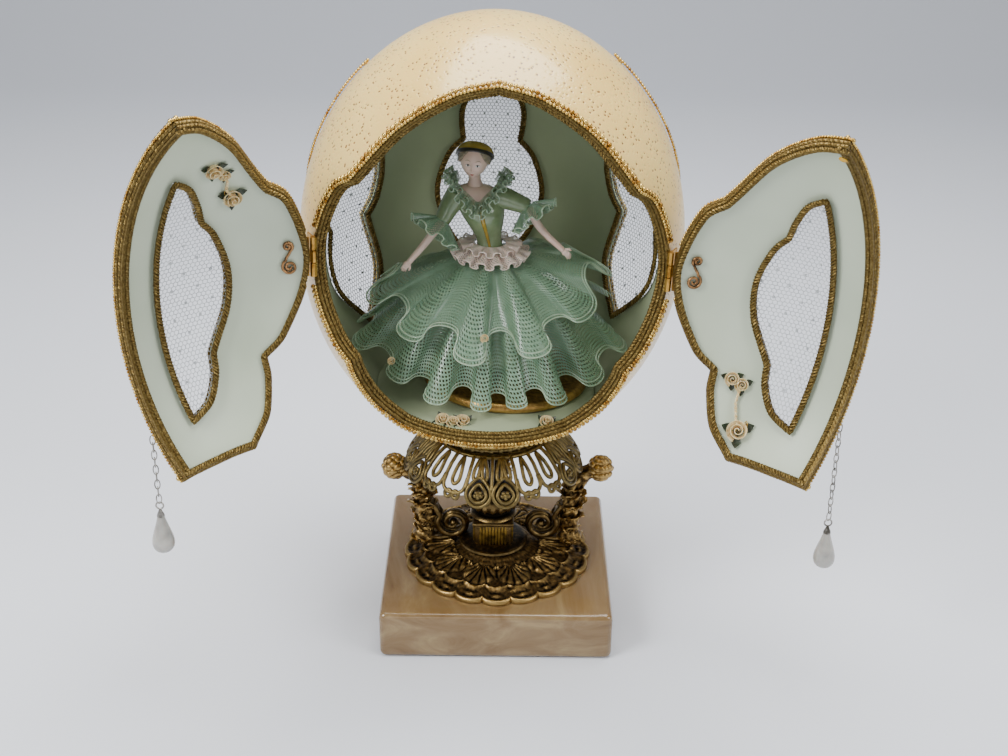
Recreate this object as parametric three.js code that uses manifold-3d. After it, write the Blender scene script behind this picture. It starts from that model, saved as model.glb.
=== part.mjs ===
// An ostrich egg opened as a display case: two net-windowed doors, a porcelain lady inside, a brass stand on marble.
// Millimetres, +Z up. The origin is the middle of the marble block's underside, and the doors face -Y.
import * as THREE from "three";
import { mergeVertices } from "three/addons/utils/BufferGeometryUtils.js";
import Module from "manifold-3d";

const wasm = await Module();
wasm.setup();

// Driving dimensions
const EGG = { halfHeight: 78.5, halfWidth: 67.7, wall: 2.2, centre: [-2.5, 0, 152.9], leanDeg: 2 };
const SHELL_FACETS = { around: 24, rows: 14, sag: 0.7 };
const CUT_GAP = 1.7; // from the saw line to the shell's and to the door's cut face
const REST_GAP = 0.3;
const LACE = 0.5;

// Trims and nets, as distances out of an outline and depths below the shell's outer face
const BRAID = { near: 0.4, far: 1.2, high: -0.75, deep: -3.5, lap: 3.2, lapHigh: -2.7 };
const INNER_BRAID = { near: -0.2, far: 1.8, deep: -4.25, high: -3.6 };
const BEAD = { radius: 0.75, inset: 2.2 };
const WINDOW_BEAD = { radius: 0.6, inset: 1 };
const NET = { high: 2.55, low: 2.85, lap: 0.8, margin: 0.8, levels: 10 };

// Hinges, and what is fixed on the doors
const HINGE = { x: 59.46, y: -33.76, low: -4, high: 10, radius: 1.15, pin: 0.55, bore: 0.86 };
const BEADLESS = { high: 13, low: -7, beyond: 50 };
const DOOR_OPEN_DEG = { left: -117.75, right: 131.74 };
const MEETING_STEPS = 8;
const LEAF = { near: 0.5, far: 5, low: -0.42, high: 0.1 };
const KNUCKLE = { gap: 0.35, low: 0.8, high: 5.6 };
const SCROLL = { azimuth: 53.6, depth: 3.6, wire: 0.5, top: [0.4, 8.4, 1.9], foot: [-0.2, 0.7, 2.7], waist: [0, 5] };
const SPRAY = { gap: 2.6, wireDepth: 3.2, wire: 0.45, squash: 0.75 };
// Rose sprays, as [degrees from the front, z, radius] of each bud and [degrees, z] of the wire
const SPRAYS = {
  left: {
    buds: [[29.5, 41, 2.4], [33.5, 38.4, 1.7], [36.8, 29.2, 2.6]],
    wire: [[31.5, 40], [34.6, 36], [34.4, 32.5], [36.4, 29.8]],
  },
  right: {
    buds: [[38.8, -32.8, 2.1], [35.4, -34.4, 2], [34.5, -48.8, 3]],
    wire: [[35.8, -34.6], [36.8, -40], [36, -45], [35, -48]],
  },
};
// Drops that hang plumb from the doors' meeting edges: height of the top on the closed door, then the chain's length
// and the pearl's top below it
const DROPS = {
  left: { z: -44.5, chain: 27.7, top: -28 },
  right: { z: -38.1, chain: 40.1, top: -40.4 },
};
const CHAIN = { x: 2, stand: 2.8, thin: 0.3, wide: 0.85, pitch: 3.2 };
const PEARL = { length: 16.2, radius: 3.9 };
const PEARL_PROFILE = [
  [0, 0], [0.28, -0.1], [0.34, -0.22], [0.62, -0.42], [0.88, -0.58], [1, -0.74], [0.86, -0.89], [0.5, -0.97], [0, -1],
];

// The lady and what she stands on, in the egg's frame. An oval is [x, y, z, half width, half depth].
const FLOOR = { top: -59.1, bottom: -61.1, topRadius: 40.4, bottomRadius: 38.4 };
const PLINTH = { x: 7.3, y: 5.2, rx: 31, ry: 30, profile: [[0.97, -58.7], [1, -57.7], [1, -56.2], [0.95, -55.4]] };
const FLOOR_ROSES = { left: [[-14.6, -31.4, 2.3], [-11.4, -32.6, 2.2], [-8.2, -32, 2.3]], right: [[22, -29.8, 2.6]] };
const ROSE_SQUASH = 0.8;
const TORSO = [
  [7, 5.2, -55, 17, 15], [5, 5, -38, 14, 12], [2, 4.8, -20, 10, 9], [0.3, 4.6, -9, 6.6, 5.8],
  [-0.8, 4.5, -4, 5.8, 5], [-3, 4.5, 4, 7.4, 6], [-4.6, 4.4, 9, 8.2, 6.2], [-6, 4.5, 14, 7.8, 5],
  [-6.7, 4.5, 16.6, 4, 3.2], [-7, 4.5, 19.5, 2.2, 2.2], [-7.2, 4.4, 22, 2.2, 2.2],
];
// Balls are [x, y, z, radius, stretch in height].
const HEAD = [-7.4, 3.9, 26, 5, 1.16];
const HAIR = [-7.5, 5.4, 26.4, 5.8, 1.02];
const CAP_HOLLOW = [[-7.5, 5.4, 26.4, 6.2, 1.04], [-7.4, 3.9, 26, 5.4, 1.16]];
const CAP = [
  [-7.6, 4.9, 29.8, 6.6, 6.6], [-7.7, 5, 31, 7.2, 7.2], [-7.8, 5.1, 33, 6.8, 6.8],
  [-7.9, 5.2, 35, 4.6, 4.6], [-8, 5.3, 35.8, 1.6, 1.6],
];
const ARMS = {
  left: { line: [[-13.8, 4.2, 14], [-16.8, 2.5, 9], [-18.6, 1, 4.2], [-24, -1.5, -4], [-29.5, -4, -10.5]] },
  right: { line: [[0, 4.2, 14], [6.5, 3, 13], [12.3, 1.5, 10.5], [16.2, -0.5, 3.2], [25.5, -3.5, -3.5]] },
};
const ARM_RADII = [2.9, 2.6, 2, 1.6, 1.1];
const SHOULDER = 3;
const HAND = 1.8;
// Frills, whose levels are [distance along the axis, radius]
const SLEEVES = {
  left: [[0, 3], [4, 5.75], [7, 8.5]],
  right: [[0, 3], [4, 5.25], [7, 7.5]],
};
const SLEEVE = { folds: 6, depth: 0.9 };
const RUFF = {
  from: [-6.9, 4.5, 19.4], towards: [-7.6, 4.5, 12], levels: [[0, 3.1], [0.5, 7], [-0.6, 12]], folds: 8, depth: 0.7,
};
const WAIST_RUFFLE = {
  from: [-0.6, 4.6, -3.6], towards: [-0.2, 4.6, -8], levels: [[0, 6.7], [2.2, 13.6]], folds: 11, depth: 0.7,
};
// Skirt tiers. The waist is [x, y, z, radius]; the hem is [degrees from the front, radius, z] at a few places.
const TIERS = {
  skirt_upper: {
    waist: [0, 4.6, -8.6, 7.8],
    hem: [
      [0, 29.5, -35], [36, 36, -30], [90, 40, -12], [135, 33, -14],
      [180, 30, -19], [225, 34, -21], [270, 41, -23.5], [321, 37.5, -30.8],
    ],
  },
  overskirt: {
    waist: [0, 4.6, -10.1, 8.3],
    hem: [[95, 50, -33], [135, 46, -31], [180, 42, -34], [225, 46, -31], [262, 45, -31]],
    open: true,
  },
  skirt_lower: {
    waist: [0.4, 4.6, -11.2, 8.9],
    hem: [
      [0, 31, -54.3], [42, 38.5, -51], [90, 50, -41.5], [135, 44, -43],
      [180, 36, -46], [225, 42, -41], [270, 49, -40], [318, 36.5, -51],
    ],
  },
};
const TIER = { rows: 4, folds: 12, openFolds: 7, flare: 1.3, fold: 0.5, hemFold: 0.9 };

// The stand. Profiles are [radius, z], from the bottom up.
const BASE = { side: 86.8, height: 19.35, round: 2.6 };
const FOOT = { x: 0.1, y: -1, lobes: 20, scallop: 1.1 };
// [radius, z, share of the scallop]
const FOOT_PROFILE = [[36.4, BASE.height + REST_GAP, 1], [36.4, 20.9, 1], [33.6, 22.7, 0.3], [18, 23.2, 0], [13.8, 25, 0]];
const URN = { x: -1.5, cube: [12, 9.2, 31], sides: 14 };
const URN_FOOT = [[0, 25.3], [13.2, 25.3], [13.2, 26.2], [10, 26.6], [0, 26.6]];
const URN_BODY = [
  [0, 35], [6, 35], [9, 36.2], [9, 37.4], [6.4, 38.4], [8, 41], [10, 45.4], [9.4, 47], [5, 48.6], [3.5, 52],
  [3.5, 60], [5, 66], [9, 70.4], [16, 72.4], [16, 73.3], [12.4, 73.3], [12.4, 74.1], [0, 74.1],
];
// The columns, in the plane they stand in: [distance out, z, radius] of the shaft and [distance out, z] of the arm
const SHAFT = [
  [28.6, 24.2, 5], [28.6, 25.4, 5.2], [28.2, 27.5, 3.4], [28.4, 32, 4.4], [28.6, 38, 4.9],
  [28.8, 44, 3.8], [29.4, 49, 2.6], [32.6, 52.6, 1.9], [37.4, 54.2, 1.5],
];
const FINIAL = [39.7, 0, 55.9, 5.1];
const CURL = { x: 16, z: 32, radius: 5.8, tighter: 0.32, from: -250, step: 34, turns: 10, wire: 0.9 };
const CURL_ARM = { line: [[17.6, 37.4], [20.5, 40.4], [23.4, 41.6], [27, 41.4]], wire: 1 };
const COLUMNS = [["left", 180, 2.5], ["right", 0, 2.5], ["back", 90, -1]];
const SEAT = { x: -2.2, radius: 19.5, z: 75.9, bead: 1.25 };
// The collar, from its seat out to the petal tips. Four cells make a petal, and # is metal.
const COLLAR = { x: -1.6, petals: 12, thick: 0.6 };
const COLLAR_LINE = [[13, 74.1], [20.5, 74.1], [26.5, 71], [30.6, 67], [32.8, 63.6], [33.6, 61]];
const COLLAR_CELLS = ["####", "#..#", "####", ".##.", ".##."];

// Outlines on the shell. The opening's half and the door window are [x, z] seen from the front; the other windows are
// [degrees round from the front, z]. Each list is one lobe, and lobes meet at points.
const OPENING_LOBES = [
  [[0, 64], [14, 60.6], [31, 49.8], [46.2, 32]],
  [[46.2, 32], [51.5, 27.4], [56.4, 16], [58.8, 3], [56.8, -11], [51, -24.6], [45.2, -31]],
  [[45.2, -31], [43.6, -38], [38, -48.6], [28.5, -57.3]],
  [[28.5, -57.3], [14, -58.7], [0, -58.8]],
];
const OPENING_STEPS = [5, 7, 4, 2];
const DOOR_WINDOW_LOBES = [
  [[16.2, 38.6], [22, 35], [26.6, 28], [29.4, 21]],
  [[29.4, 21], [34.6, 14.6], [38.8, 2], [37.4, -12], [30, -26.3]],
  [[30, -26.3], [28.2, -33.6], [23, -41], [15, -44.8]],
  [[15, -44.8], [14.8, -20], [15.2, 10], [16.2, 38.6]],
];
const DOOR_WINDOW_STEPS = [4, 6, 4, 7];
const SIDE_WINDOW_LOBES = [
  [[105.5, 59], [98.5, 52], [95, 42], [97, 27], [103, 8], [110, -8]],
  [[110, -8], [105.8, -19], [106.5, -31], [118, -45.5]],
  [[118, -45.5], [127.5, -38], [133, -27], [130.5, -8]],
  [[130.5, -8], [135.5, -1], [137.3, 11], [134, 27], [125, 41]],
  [[125, 41], [120.5, 50], [105.5, 59]],
];
const SIDE_WINDOW_STEPS = [5, 4, 4, 4, 3];
const SIDE_WINDOW_SHIFT = { left: -3, right: 3 };
const BACK_WINDOW_LOBES = [
  [[0, 44], [7, 39.5], [10.8, 29], [9.6, 15.5]],
  [[9.6, 15.5], [14.8, 8.5], [18.3, -6], [15.4, -20], [11, -28]],
  [[11, -28], [9, -36], [0, -42]],
];
const BACK_WINDOW_STEPS = [3, 4, 3];
const BACK_WINDOW_AZIMUTH = 181.5;

// Finishes
const finish = (color, roughness, metalness = 0, extra = {}) => () =>
  new THREE.MeshStandardMaterial({ color, roughness, metalness, ...extra });
const marble = finish("#dccdb0", 0.3);
const gilt = finish("#8a6a3a", 0.45, 1);
const darkBrass = finish("#3a3226", 0.45, 1);
const goldBraid = finish("#a07a2c", 0.5, 1);
const goldBead = finish("#d2a24a", 0.3, 1);
const brass = finish("#b08a48", 0.35, 1);
const copper = finish("#8d6a45", 0.4, 1);
const eggshell = finish("#ead9b8", 0.35);
const tulle = finish("#f4f4f2", 0.9, 0, { transparent: true, opacity: 0.35 });
const sage = finish("#a9b79a", 0.6);
const lace = finish("#a9c7b0", 0.5);
const blush = finish("#d8cbbd", 0.4);
const ribbon = finish("#d9c79a", 0.7);
const silver = finish("#8b867c", 0.35, 1);
const pearl = finish("#dcd8d2", 0.2);

const root = new THREE.Group();
const egg = new THREE.Group();
egg.position.set(...EGG.centre);
egg.rotation.y = THREE.MathUtils.degToRad(EGG.leanDeg);
root.add(egg);

function addPiece(parent, name, geometry, material) {
  const mesh = new THREE.Mesh(geometry, material());
  mesh.name = name;
  parent.add(mesh);
  return mesh;
}

// Solid helpers

const vec = (x, y, z) => new THREE.Vector3(x, y, z);
const rad = THREE.MathUtils.degToRad;

function meshOf(points, faces) {
  const geometry = new THREE.BufferGeometry();
  geometry.setAttribute("position", new THREE.Float32BufferAttribute(points.flatMap((p) => [p.x, p.y, p.z]), 3));
  geometry.setIndex(faces.flat());
  return faceOutwards(geometry);
}

function faceOutwards(geometry) {
  const p = geometry.attributes.position;
  const at = (i) => vec(p.getX(i), p.getY(i), p.getZ(i));
  const index = geometry.index.array;
  let volume = 0;
  for (let i = 0; i < index.length; i += 3)
    volume += at(index[i]).dot(at(index[i + 1]).cross(at(index[i + 2])));
  if (volume < 0)
    for (let i = 0; i < index.length; i += 3) [index[i + 1], index[i + 2]] = [index[i + 2], index[i + 1]];
  return geometry;
}

function solid(geometry) {
  const bare = geometry.clone();
  bare.deleteAttribute("normal");
  bare.deleteAttribute("uv");
  const merged = faceOutwards(mergeVertices(bare, 1e-4));
  return new wasm.Manifold(
    new wasm.Mesh({
      numProp: 3,
      vertProperties: new Float32Array(merged.attributes.position.array),
      triVerts: new Uint32Array(merged.index.array),
    }),
  );
}

function geometryOf(made) {
  const mesh = made.getMesh();
  const geometry = new THREE.BufferGeometry();
  geometry.setAttribute("position", new THREE.BufferAttribute(new Float32Array(mesh.vertProperties), 3));
  geometry.setIndex(new THREE.BufferAttribute(new Uint32Array(mesh.triVerts), 1));
  return geometry;
}

const joined = (...geometries) => geometryOf(geometries.map(solid).reduce((a, b) => a.add(b)));

// Skins a list of rings, each a list of points. wrap joins the last ring to the first; otherwise both ends are capped.
function loft(rings, wrap) {
  const n = rings[0].length;
  const faces = [];
  const last = wrap ? rings.length : rings.length - 1;
  for (let i = 0; i < last; i++)
    for (let j = 0; j < n; j++) {
      const a = i * n + j;
      const b = i * n + ((j + 1) % n);
      const c = ((i + 1) % rings.length) * n + j;
      const d = ((i + 1) % rings.length) * n + ((j + 1) % n);
      faces.push([a, b, d], [a, d, c]);
    }
  const points = rings.flat();
  if (!wrap)
    for (const [ring, turn] of [[0, true], [rings.length - 1, false]]) {
      const middle = rings[ring].reduce((s, p) => s.add(p), vec(0, 0, 0)).divideScalar(n);
      points.push(middle);
      for (let j = 0; j < n; j++) {
        const pair = [ring * n + j, ring * n + ((j + 1) % n)];
        faces.push([points.length - 1, ...(turn ? pair.reverse() : pair)]);
      }
    }
  return meshOf(points, faces);
}

// A sheet between two grids of points. wrap closes it round its columns, and keep says which cells are material.
function sheet(front, back, { wrap = false, keep = () => true } = {}) {
  const rows = front.length;
  const columns = front[0].length;
  const cells = wrap ? columns : columns - 1;
  const id = (i, j, side) => side * rows * columns + i * columns + (j % columns);
  const held = (i, j) => i >= 0 && i < rows - 1 && (wrap || (j >= 0 && j < cells)) && keep(i, (j + cells) % cells);
  const faces = [];
  const quad = (a, b, c, d) => faces.push([a, b, c], [a, c, d]);
  for (let i = 0; i < rows - 1; i++)
    for (let j = 0; j < cells; j++) {
      if (!held(i, j)) continue;
      quad(id(i, j, 0), id(i, j + 1, 0), id(i + 1, j + 1, 0), id(i + 1, j, 0));
      quad(id(i, j, 1), id(i + 1, j, 1), id(i + 1, j + 1, 1), id(i, j + 1, 1));
      if (!held(i - 1, j)) quad(id(i, j, 0), id(i, j, 1), id(i, j + 1, 1), id(i, j + 1, 0));
      if (!held(i + 1, j)) quad(id(i + 1, j, 0), id(i + 1, j + 1, 0), id(i + 1, j + 1, 1), id(i + 1, j, 1));
      if (!held(i, j - 1)) quad(id(i, j, 0), id(i + 1, j, 0), id(i + 1, j, 1), id(i, j, 1));
      if (!held(i, j + 1)) quad(id(i, j + 1, 0), id(i, j + 1, 1), id(i + 1, j + 1, 1), id(i + 1, j + 1, 0));
    }
  const used = [...new Set(faces.flat())];
  const place = new Map(used.map((v, k) => [v, k]));
  const all = [...front.flat(), ...back.flat()];
  return meshOf(used.map((v) => all[v]), faces.map((f) => f.map((v) => place.get(v))));
}

// A round rod along a line of points whose radius may change from point to point.
function rod(points, radius, sides = 6, closed = false) {
  const curve = new THREE.CatmullRomCurve3(points, closed);
  const frames = { up: vec(0, 1, 0) };
  const rings = points.map((p, i) => {
    const t = curve.getTangent(i / (closed ? points.length : points.length - 1));
    if (Math.abs(t.dot(frames.up)) > 0.95) frames.up = vec(0.3, 0.1, 1).normalize();
    const u = frames.up.clone().cross(t).normalize();
    const v = t.clone().cross(u);
    frames.up = v.clone();
    const r = typeof radius === "function" ? radius(i / (points.length - 1)) : radius;
    return Array.from({ length: sides }, (_, k) => {
      const angle = (2 * Math.PI * k) / sides;
      return p.clone().addScaledVector(u, r * Math.cos(angle)).addScaledVector(v, r * Math.sin(angle));
    });
  });
  return loft(rings, closed);
}

function turned(profile, sides) {
  const made = new THREE.LatheGeometry(profile.map(([r, z]) => new THREE.Vector2(r, z)), sides);
  return faceOutwards(made.rotateX(Math.PI / 2));
}

// Outlines on the shell

function sampled(lobes, steps) {
  return lobes.flatMap((lobe, i) => {
    const curve = new THREE.SplineCurve(lobe.map(([x, z]) => new THREE.Vector2(x, z)));
    return curve.getSpacedPoints(steps[i]).slice(0, -1).map((p) => [p.x, p.y]);
  });
}

const frontPoint = ([x, z]) =>
  vec(x, -EGG.halfWidth * Math.sqrt(1 - (x / EGG.halfWidth) ** 2 - (z / EGG.halfHeight) ** 2), z);

function roundPoint([azimuth, z]) {
  const r = EGG.halfWidth * Math.sqrt(1 - (z / EGG.halfHeight) ** 2);
  return vec(r * Math.sin(rad(azimuth)), -r * Math.cos(rad(azimuth)), z);
}

const shellNormal = (p) =>
  vec(p.x / EGG.halfWidth ** 2, p.y / EGG.halfWidth ** 2, p.z / EGG.halfHeight ** 2).normalize();

function ontoShell(p) {
  const size = Math.hypot(Math.hypot(p.x, p.y) / EGG.halfWidth, p.z / EGG.halfHeight);
  return p.clone().divideScalar(size);
}

// Gives each point of an outline its surface normal and the direction that leads out of the outline along the shell.
function framed(points, closed = true) {
  const n = points.length;
  const middle = points.reduce((s, p) => s.clone().add(p), vec(0, 0, 0)).divideScalar(n);
  const steps = points.map((p, i) => points[(i + 1) % n].clone().sub(p).normalize());
  const made = points.map((p, i) => {
    const normal = shellNormal(p);
    const before = closed || i > 0 ? steps[(i + n - 1) % n] : steps[i];
    const after = closed || i < n - 1 ? steps[i] : steps[i - 1];
    const sideOf = (t) => t.clone().cross(normal).normalize();
    const side = sideOf(before).add(sideOf(after)).normalize();
    const stretch = Math.min(1 / Math.max(side.dot(sideOf(after)), 0.1), 1.7);
    return { p, normal, side: side.multiplyScalar(stretch) };
  });
  const outward = made.reduce((s, f) => s + f.side.dot(f.p.clone().sub(middle)), 0);
  if (outward < 0) made.forEach((f) => f.side.negate());
  return made;
}

const shifted = (frames, across) => frames.map((f) => ontoShell(f.p.clone().addScaledVector(f.side, across)));

// A band that follows an outline. section is a list of [distance out of the outline, height above the shell].
function band(frames, section, closed = true) {
  return loft(
    frames.map((f) => section.map(([s, h]) => f.p.clone().addScaledVector(f.side, s).addScaledVector(f.normal, h))),
    closed,
  );
}

const box = (near, far, low, high) => [[near, low], [far, low], [far, high], [near, high]];
const innerBraid = box(INNER_BRAID.near, INNER_BRAID.far, INNER_BRAID.deep, INNER_BRAID.high);
const bead = (across, radius = BEAD.radius) => {
  const high = REST_GAP + radius;
  return [[across - radius, high - radius], [across + radius, high - radius], [across, high + radius]];
};

// A cone from the egg's middle through an outline and far past the shell: what a radial cut takes.
function radialCut(points) {
  const far = points.map((p) => p.clone().multiplyScalar(3));
  const ahead = points.reduce((s, p) => s.clone().add(p), vec(0, 0, 0)).normalize();
  const right = vec(0, 0, 1).cross(ahead).normalize();
  const up = ahead.clone().cross(right);
  let flat = far.map((p) => new THREE.Vector2(p.dot(right), p.dot(up)));
  if (THREE.ShapeUtils.area(flat) < 0) {
    far.reverse();
    flat = flat.reverse();
  }
  const faces = THREE.ShapeUtils.triangulateShape(flat, []).map((f) => [...f]);
  const apex = far.length;
  far.forEach((_, i) => faces.push([(i + 1) % apex, i, apex]));
  return solid(meshOf([...far, vec(0, 0, 0)], faces));
}

function ellipsoid(shrink) {
  const made = new THREE.SphereGeometry(1, SHELL_FACETS.around, SHELL_FACETS.rows);
  made.rotateX(Math.PI / 2);
  made.scale(EGG.halfWidth - shrink, EGG.halfWidth - shrink, EGG.halfHeight - shrink);
  return solid(made);
}

// A thin net that fills a hole, in rows from its lowest to its highest point.
function net(points, toRow, fromRow) {
  const flat = points.map(toRow);
  const heights = flat.map((p) => p[1]);
  const low = Math.min(...heights) + NET.margin;
  const high = Math.max(...heights) - NET.margin;
  const rows = Array.from({ length: NET.levels + 1 }, (_, i) => low + ((high - low) * i) / NET.levels);
  const grid = (out) =>
    rows.map((z) => {
      const crossings = flat
        .map((p, i) => [p, flat[(i + 1) % flat.length]])
        .filter(([p, q]) => p[1] <= z !== q[1] <= z)
        .map(([p, q]) => p[0] + ((q[0] - p[0]) * (z - p[1])) / (q[1] - p[1]));
      const [a, b] = [Math.min(...crossings), Math.max(...crossings)];
      return [a, (a + b) / 2, b].map((s) => {
        const p = fromRow([s, z]);
        return p.addScaledVector(shellNormal(p), out);
      });
    });
  return sheet(grid(-NET.high), grid(-NET.low));
}

const flatRow = (p) => [p.x, p.z];
const azimuthRow = (p) => [(THREE.MathUtils.radToDeg(Math.atan2(p.x, -p.y)) + 360) % 360, p.z];

// The door opening's outline, right half then left, and each half with the line where the doors meet
const halfOpening = sampled(OPENING_LOBES, OPENING_STEPS);
const bottomTip = OPENING_LOBES.at(-1).at(-1);
const openingOutline = [...halfOpening, bottomTip, ...halfOpening.slice(1).map(([x, z]) => [-x, z]).reverse()];
const openingFrames = framed(openingOutline.map(frontPoint));

function doorOutline(side) {
  const rise = OPENING_LOBES[0][0][1] - bottomTip[1];
  const meeting = Array.from({ length: MEETING_STEPS - 1 }, (_, i) => [
    0, bottomTip[1] + (rise * (i + 1)) / MEETING_STEPS]);
  return [...halfOpening, bottomTip, ...meeting].map(([x, z]) => frontPoint([x * side, z]));
}

const doorWindow = sampled(DOOR_WINDOW_LOBES, DOOR_WINDOW_STEPS);
const sideWindow = (side, shift) =>
  sampled(SIDE_WINDOW_LOBES, SIDE_WINDOW_STEPS).map(([azimuth, z]) => roundPoint([side * azimuth, z + shift]));
const halfBack = sampled(BACK_WINDOW_LOBES, BACK_WINDOW_STEPS);
const otherBack = halfBack.slice(1).map(([d, z]) => [-d, z]).reverse();
const backWindow = [...halfBack, BACK_WINDOW_LOBES.at(-1).at(-1), ...otherBack]
  .map(([d, z]) => roundPoint([BACK_WINDOW_AZIMUTH + d, z]));
const shellWindows = {
  left: sideWindow(-1, SIDE_WINDOW_SHIFT.left),
  right: sideWindow(1, SIDE_WINDOW_SHIFT.right),
  back: backWindow,
};

// Shell with its opening and windows

const wall = ellipsoid(0).subtract(ellipsoid(EGG.wall - SHELL_FACETS.sag));

function makeShell() {
  let made = wall.subtract(radialCut(shifted(openingFrames, CUT_GAP)));
  for (const outline of Object.values(shellWindows)) made = made.subtract(radialCut(outline));
  addPiece(egg, "shell", geometryOf(made), eggshell);

  const beadsOut = bead(BEAD.inset);
  const upper = openingFrames.filter((f) => f.p.z > BEADLESS.high).sort((f, g) => f.p.x - g.p.x);
  addPiece(egg, "opening_beads_upper", band(upper, beadsOut, false), goldBead);
  const lower = openingFrames.filter((f) => f.p.z < BEADLESS.low);
  addPiece(egg, "opening_beads_lower", band(lower, beadsOut, false), goldBead);
  addPiece(egg, "opening_braid", band(openingFrames, box(BRAID.near, BRAID.far, BRAID.deep, BRAID.high)), goldBraid);

  for (const [name, outline] of Object.entries(shellWindows)) {
    const frames = framed(outline);
    addPiece(egg, "window_braid_" + name, band(frames, innerBraid), goldBraid);
    addPiece(egg, "window_beads_" + name, band(frames, bead(WINDOW_BEAD.inset, WINDOW_BEAD.radius)), goldBead);
    addPiece(egg, "window_net_" + name, net(shifted(frames, NET.lap), azimuthRow, roundPoint), tulle);
  }
}
makeShell();

// Doors. Each is made closed, in the egg's frame, and its group turns it about the hinge.

const sides = { left: -1, right: 1 };
const doorGroups = {};
for (const [name, side] of Object.entries(sides)) {
  const pivot = new THREE.Group();
  pivot.position.set(side * HINGE.x, HINGE.y, 0);
  pivot.rotation.z = rad(DOOR_OPEN_DEG[name]);
  const door = new THREE.Group();
  door.position.set(-side * HINGE.x, -HINGE.y, 0);
  pivot.add(door);
  egg.add(pivot);
  doorGroups[name] = door;
}

// A point on the closed door's inner side: azimuth from the front, height, and depth below the shell's outer face.
const innerPoint = (side, azimuth, z, depth) => {
  const p = roundPoint([side * azimuth, z]);
  return p.addScaledVector(shellNormal(p), -depth);
};

function scrollGeometry(side) {
  const mmPerDegree = rad(EGG.halfWidth);
  const line = [];
  const curl = ([s, z, r], from, to, inner, count) => {
    for (let i = 0; i <= count; i++) {
      const angle = rad(from + ((to - from) * i) / count);
      const radius = r * (1 - inner + (inner * i) / count);
      line.push([s + radius * Math.cos(angle), z + radius * Math.sin(angle)]);
    }
  };
  curl(SCROLL.top, -420, -120, 0.6, 7);
  line.push(SCROLL.waist);
  curl(SCROLL.foot, 60, -330, -0.6, 9);
  const points = line.map(([s, z]) => innerPoint(side, SCROLL.azimuth - s / mmPerDegree, z, SCROLL.depth));
  return rod(points, SCROLL.wire, 4);
}

function rosebud(centre, radius, outward) {
  const made = new THREE.SphereGeometry(radius, 6, 4);
  made.scale(1, 1, SPRAY.squash);
  const turn = new THREE.Quaternion().setFromUnitVectors(vec(0, 0, 1), outward);
  return made.applyQuaternion(turn).translate(centre.x, centre.y, centre.z);
}

function sprayGeometry(name, side) {
  const { buds, wire } = SPRAYS[name];
  const at = (azimuth, z) => innerPoint(side, azimuth, z, SPRAY.wireDepth);
  const heads = buds.map(([azimuth, z, r]) => {
    const centre = innerPoint(side, azimuth, z, SPRAY.gap + r * SPRAY.squash);
    return rosebud(centre, r, shellNormal(centre).negate());
  });
  const link = rod([at(buds[0][0], buds[0][1]), at(buds[1][0], buds[1][1])], SPRAY.wire, 4);
  return joined(...heads, link, rod(wire.map(([azimuth, z]) => at(azimuth, z)), SPRAY.wire, 4));
}

// The hinge's own frame: x along the shell towards the door, y out of the shell, z up its pin.
function hingeFrame(side) {
  const out = vec(side * HINGE.x, HINGE.y, 0).normalize();
  const along = vec(side * out.y, -side * out.x, 0);
  const made = new THREE.Matrix4().makeBasis(along, out, vec(0, 0, 1));
  return made.setPosition(side * HINGE.x, HINGE.y, 0);
}

function rounded(radius, low, high, count = 8) {
  const made = new THREE.CylinderGeometry(radius, radius, high - low, count);
  return made.rotateX(Math.PI / 2).translate(0, 0, (low + high) / 2);
}

function leafPlate(towards, low, high) {
  const made = new THREE.BoxGeometry(LEAF.far - LEAF.near, LEAF.high - LEAF.low, high - low);
  return made.translate((towards * (LEAF.near + LEAF.far)) / 2, (LEAF.low + LEAF.high) / 2, (low + high) / 2);
}

function makeHinge(name, side) {
  const place = (geometry) => faceOutwards(geometry.applyMatrix4(hingeFrame(side)));
  const { low, high, radius, pin, bore } = HINGE;
  const shellLeaf = solid(leafPlate(-1, low, high))
    .subtract(solid(rounded(radius + KNUCKLE.gap, KNUCKLE.low, KNUCKLE.high)))
    .add(solid(rounded(radius, low, KNUCKLE.low)))
    .add(solid(rounded(radius, KNUCKLE.high, high)))
    .add(solid(rounded(pin, low + 1, high - 1, 6)));
  addPiece(egg, "hinge_leaf_" + name, place(geometryOf(shellLeaf)), brass);
  const from = KNUCKLE.low + KNUCKLE.gap;
  const to = KNUCKLE.high - KNUCKLE.gap;
  const doorLeaf = solid(leafPlate(1, low, high))
    .subtract(solid(rounded(radius + KNUCKLE.gap, low - 1, high + 1)))
    .add(solid(leafPlate(1, from, to)))
    .add(solid(rounded(radius, from, to)))
    .subtract(solid(rounded(bore, low, high)));
  addPiece(doorGroups[name], "door_hinge_leaf_" + name, place(geometryOf(doorLeaf)), brass);
}

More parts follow.
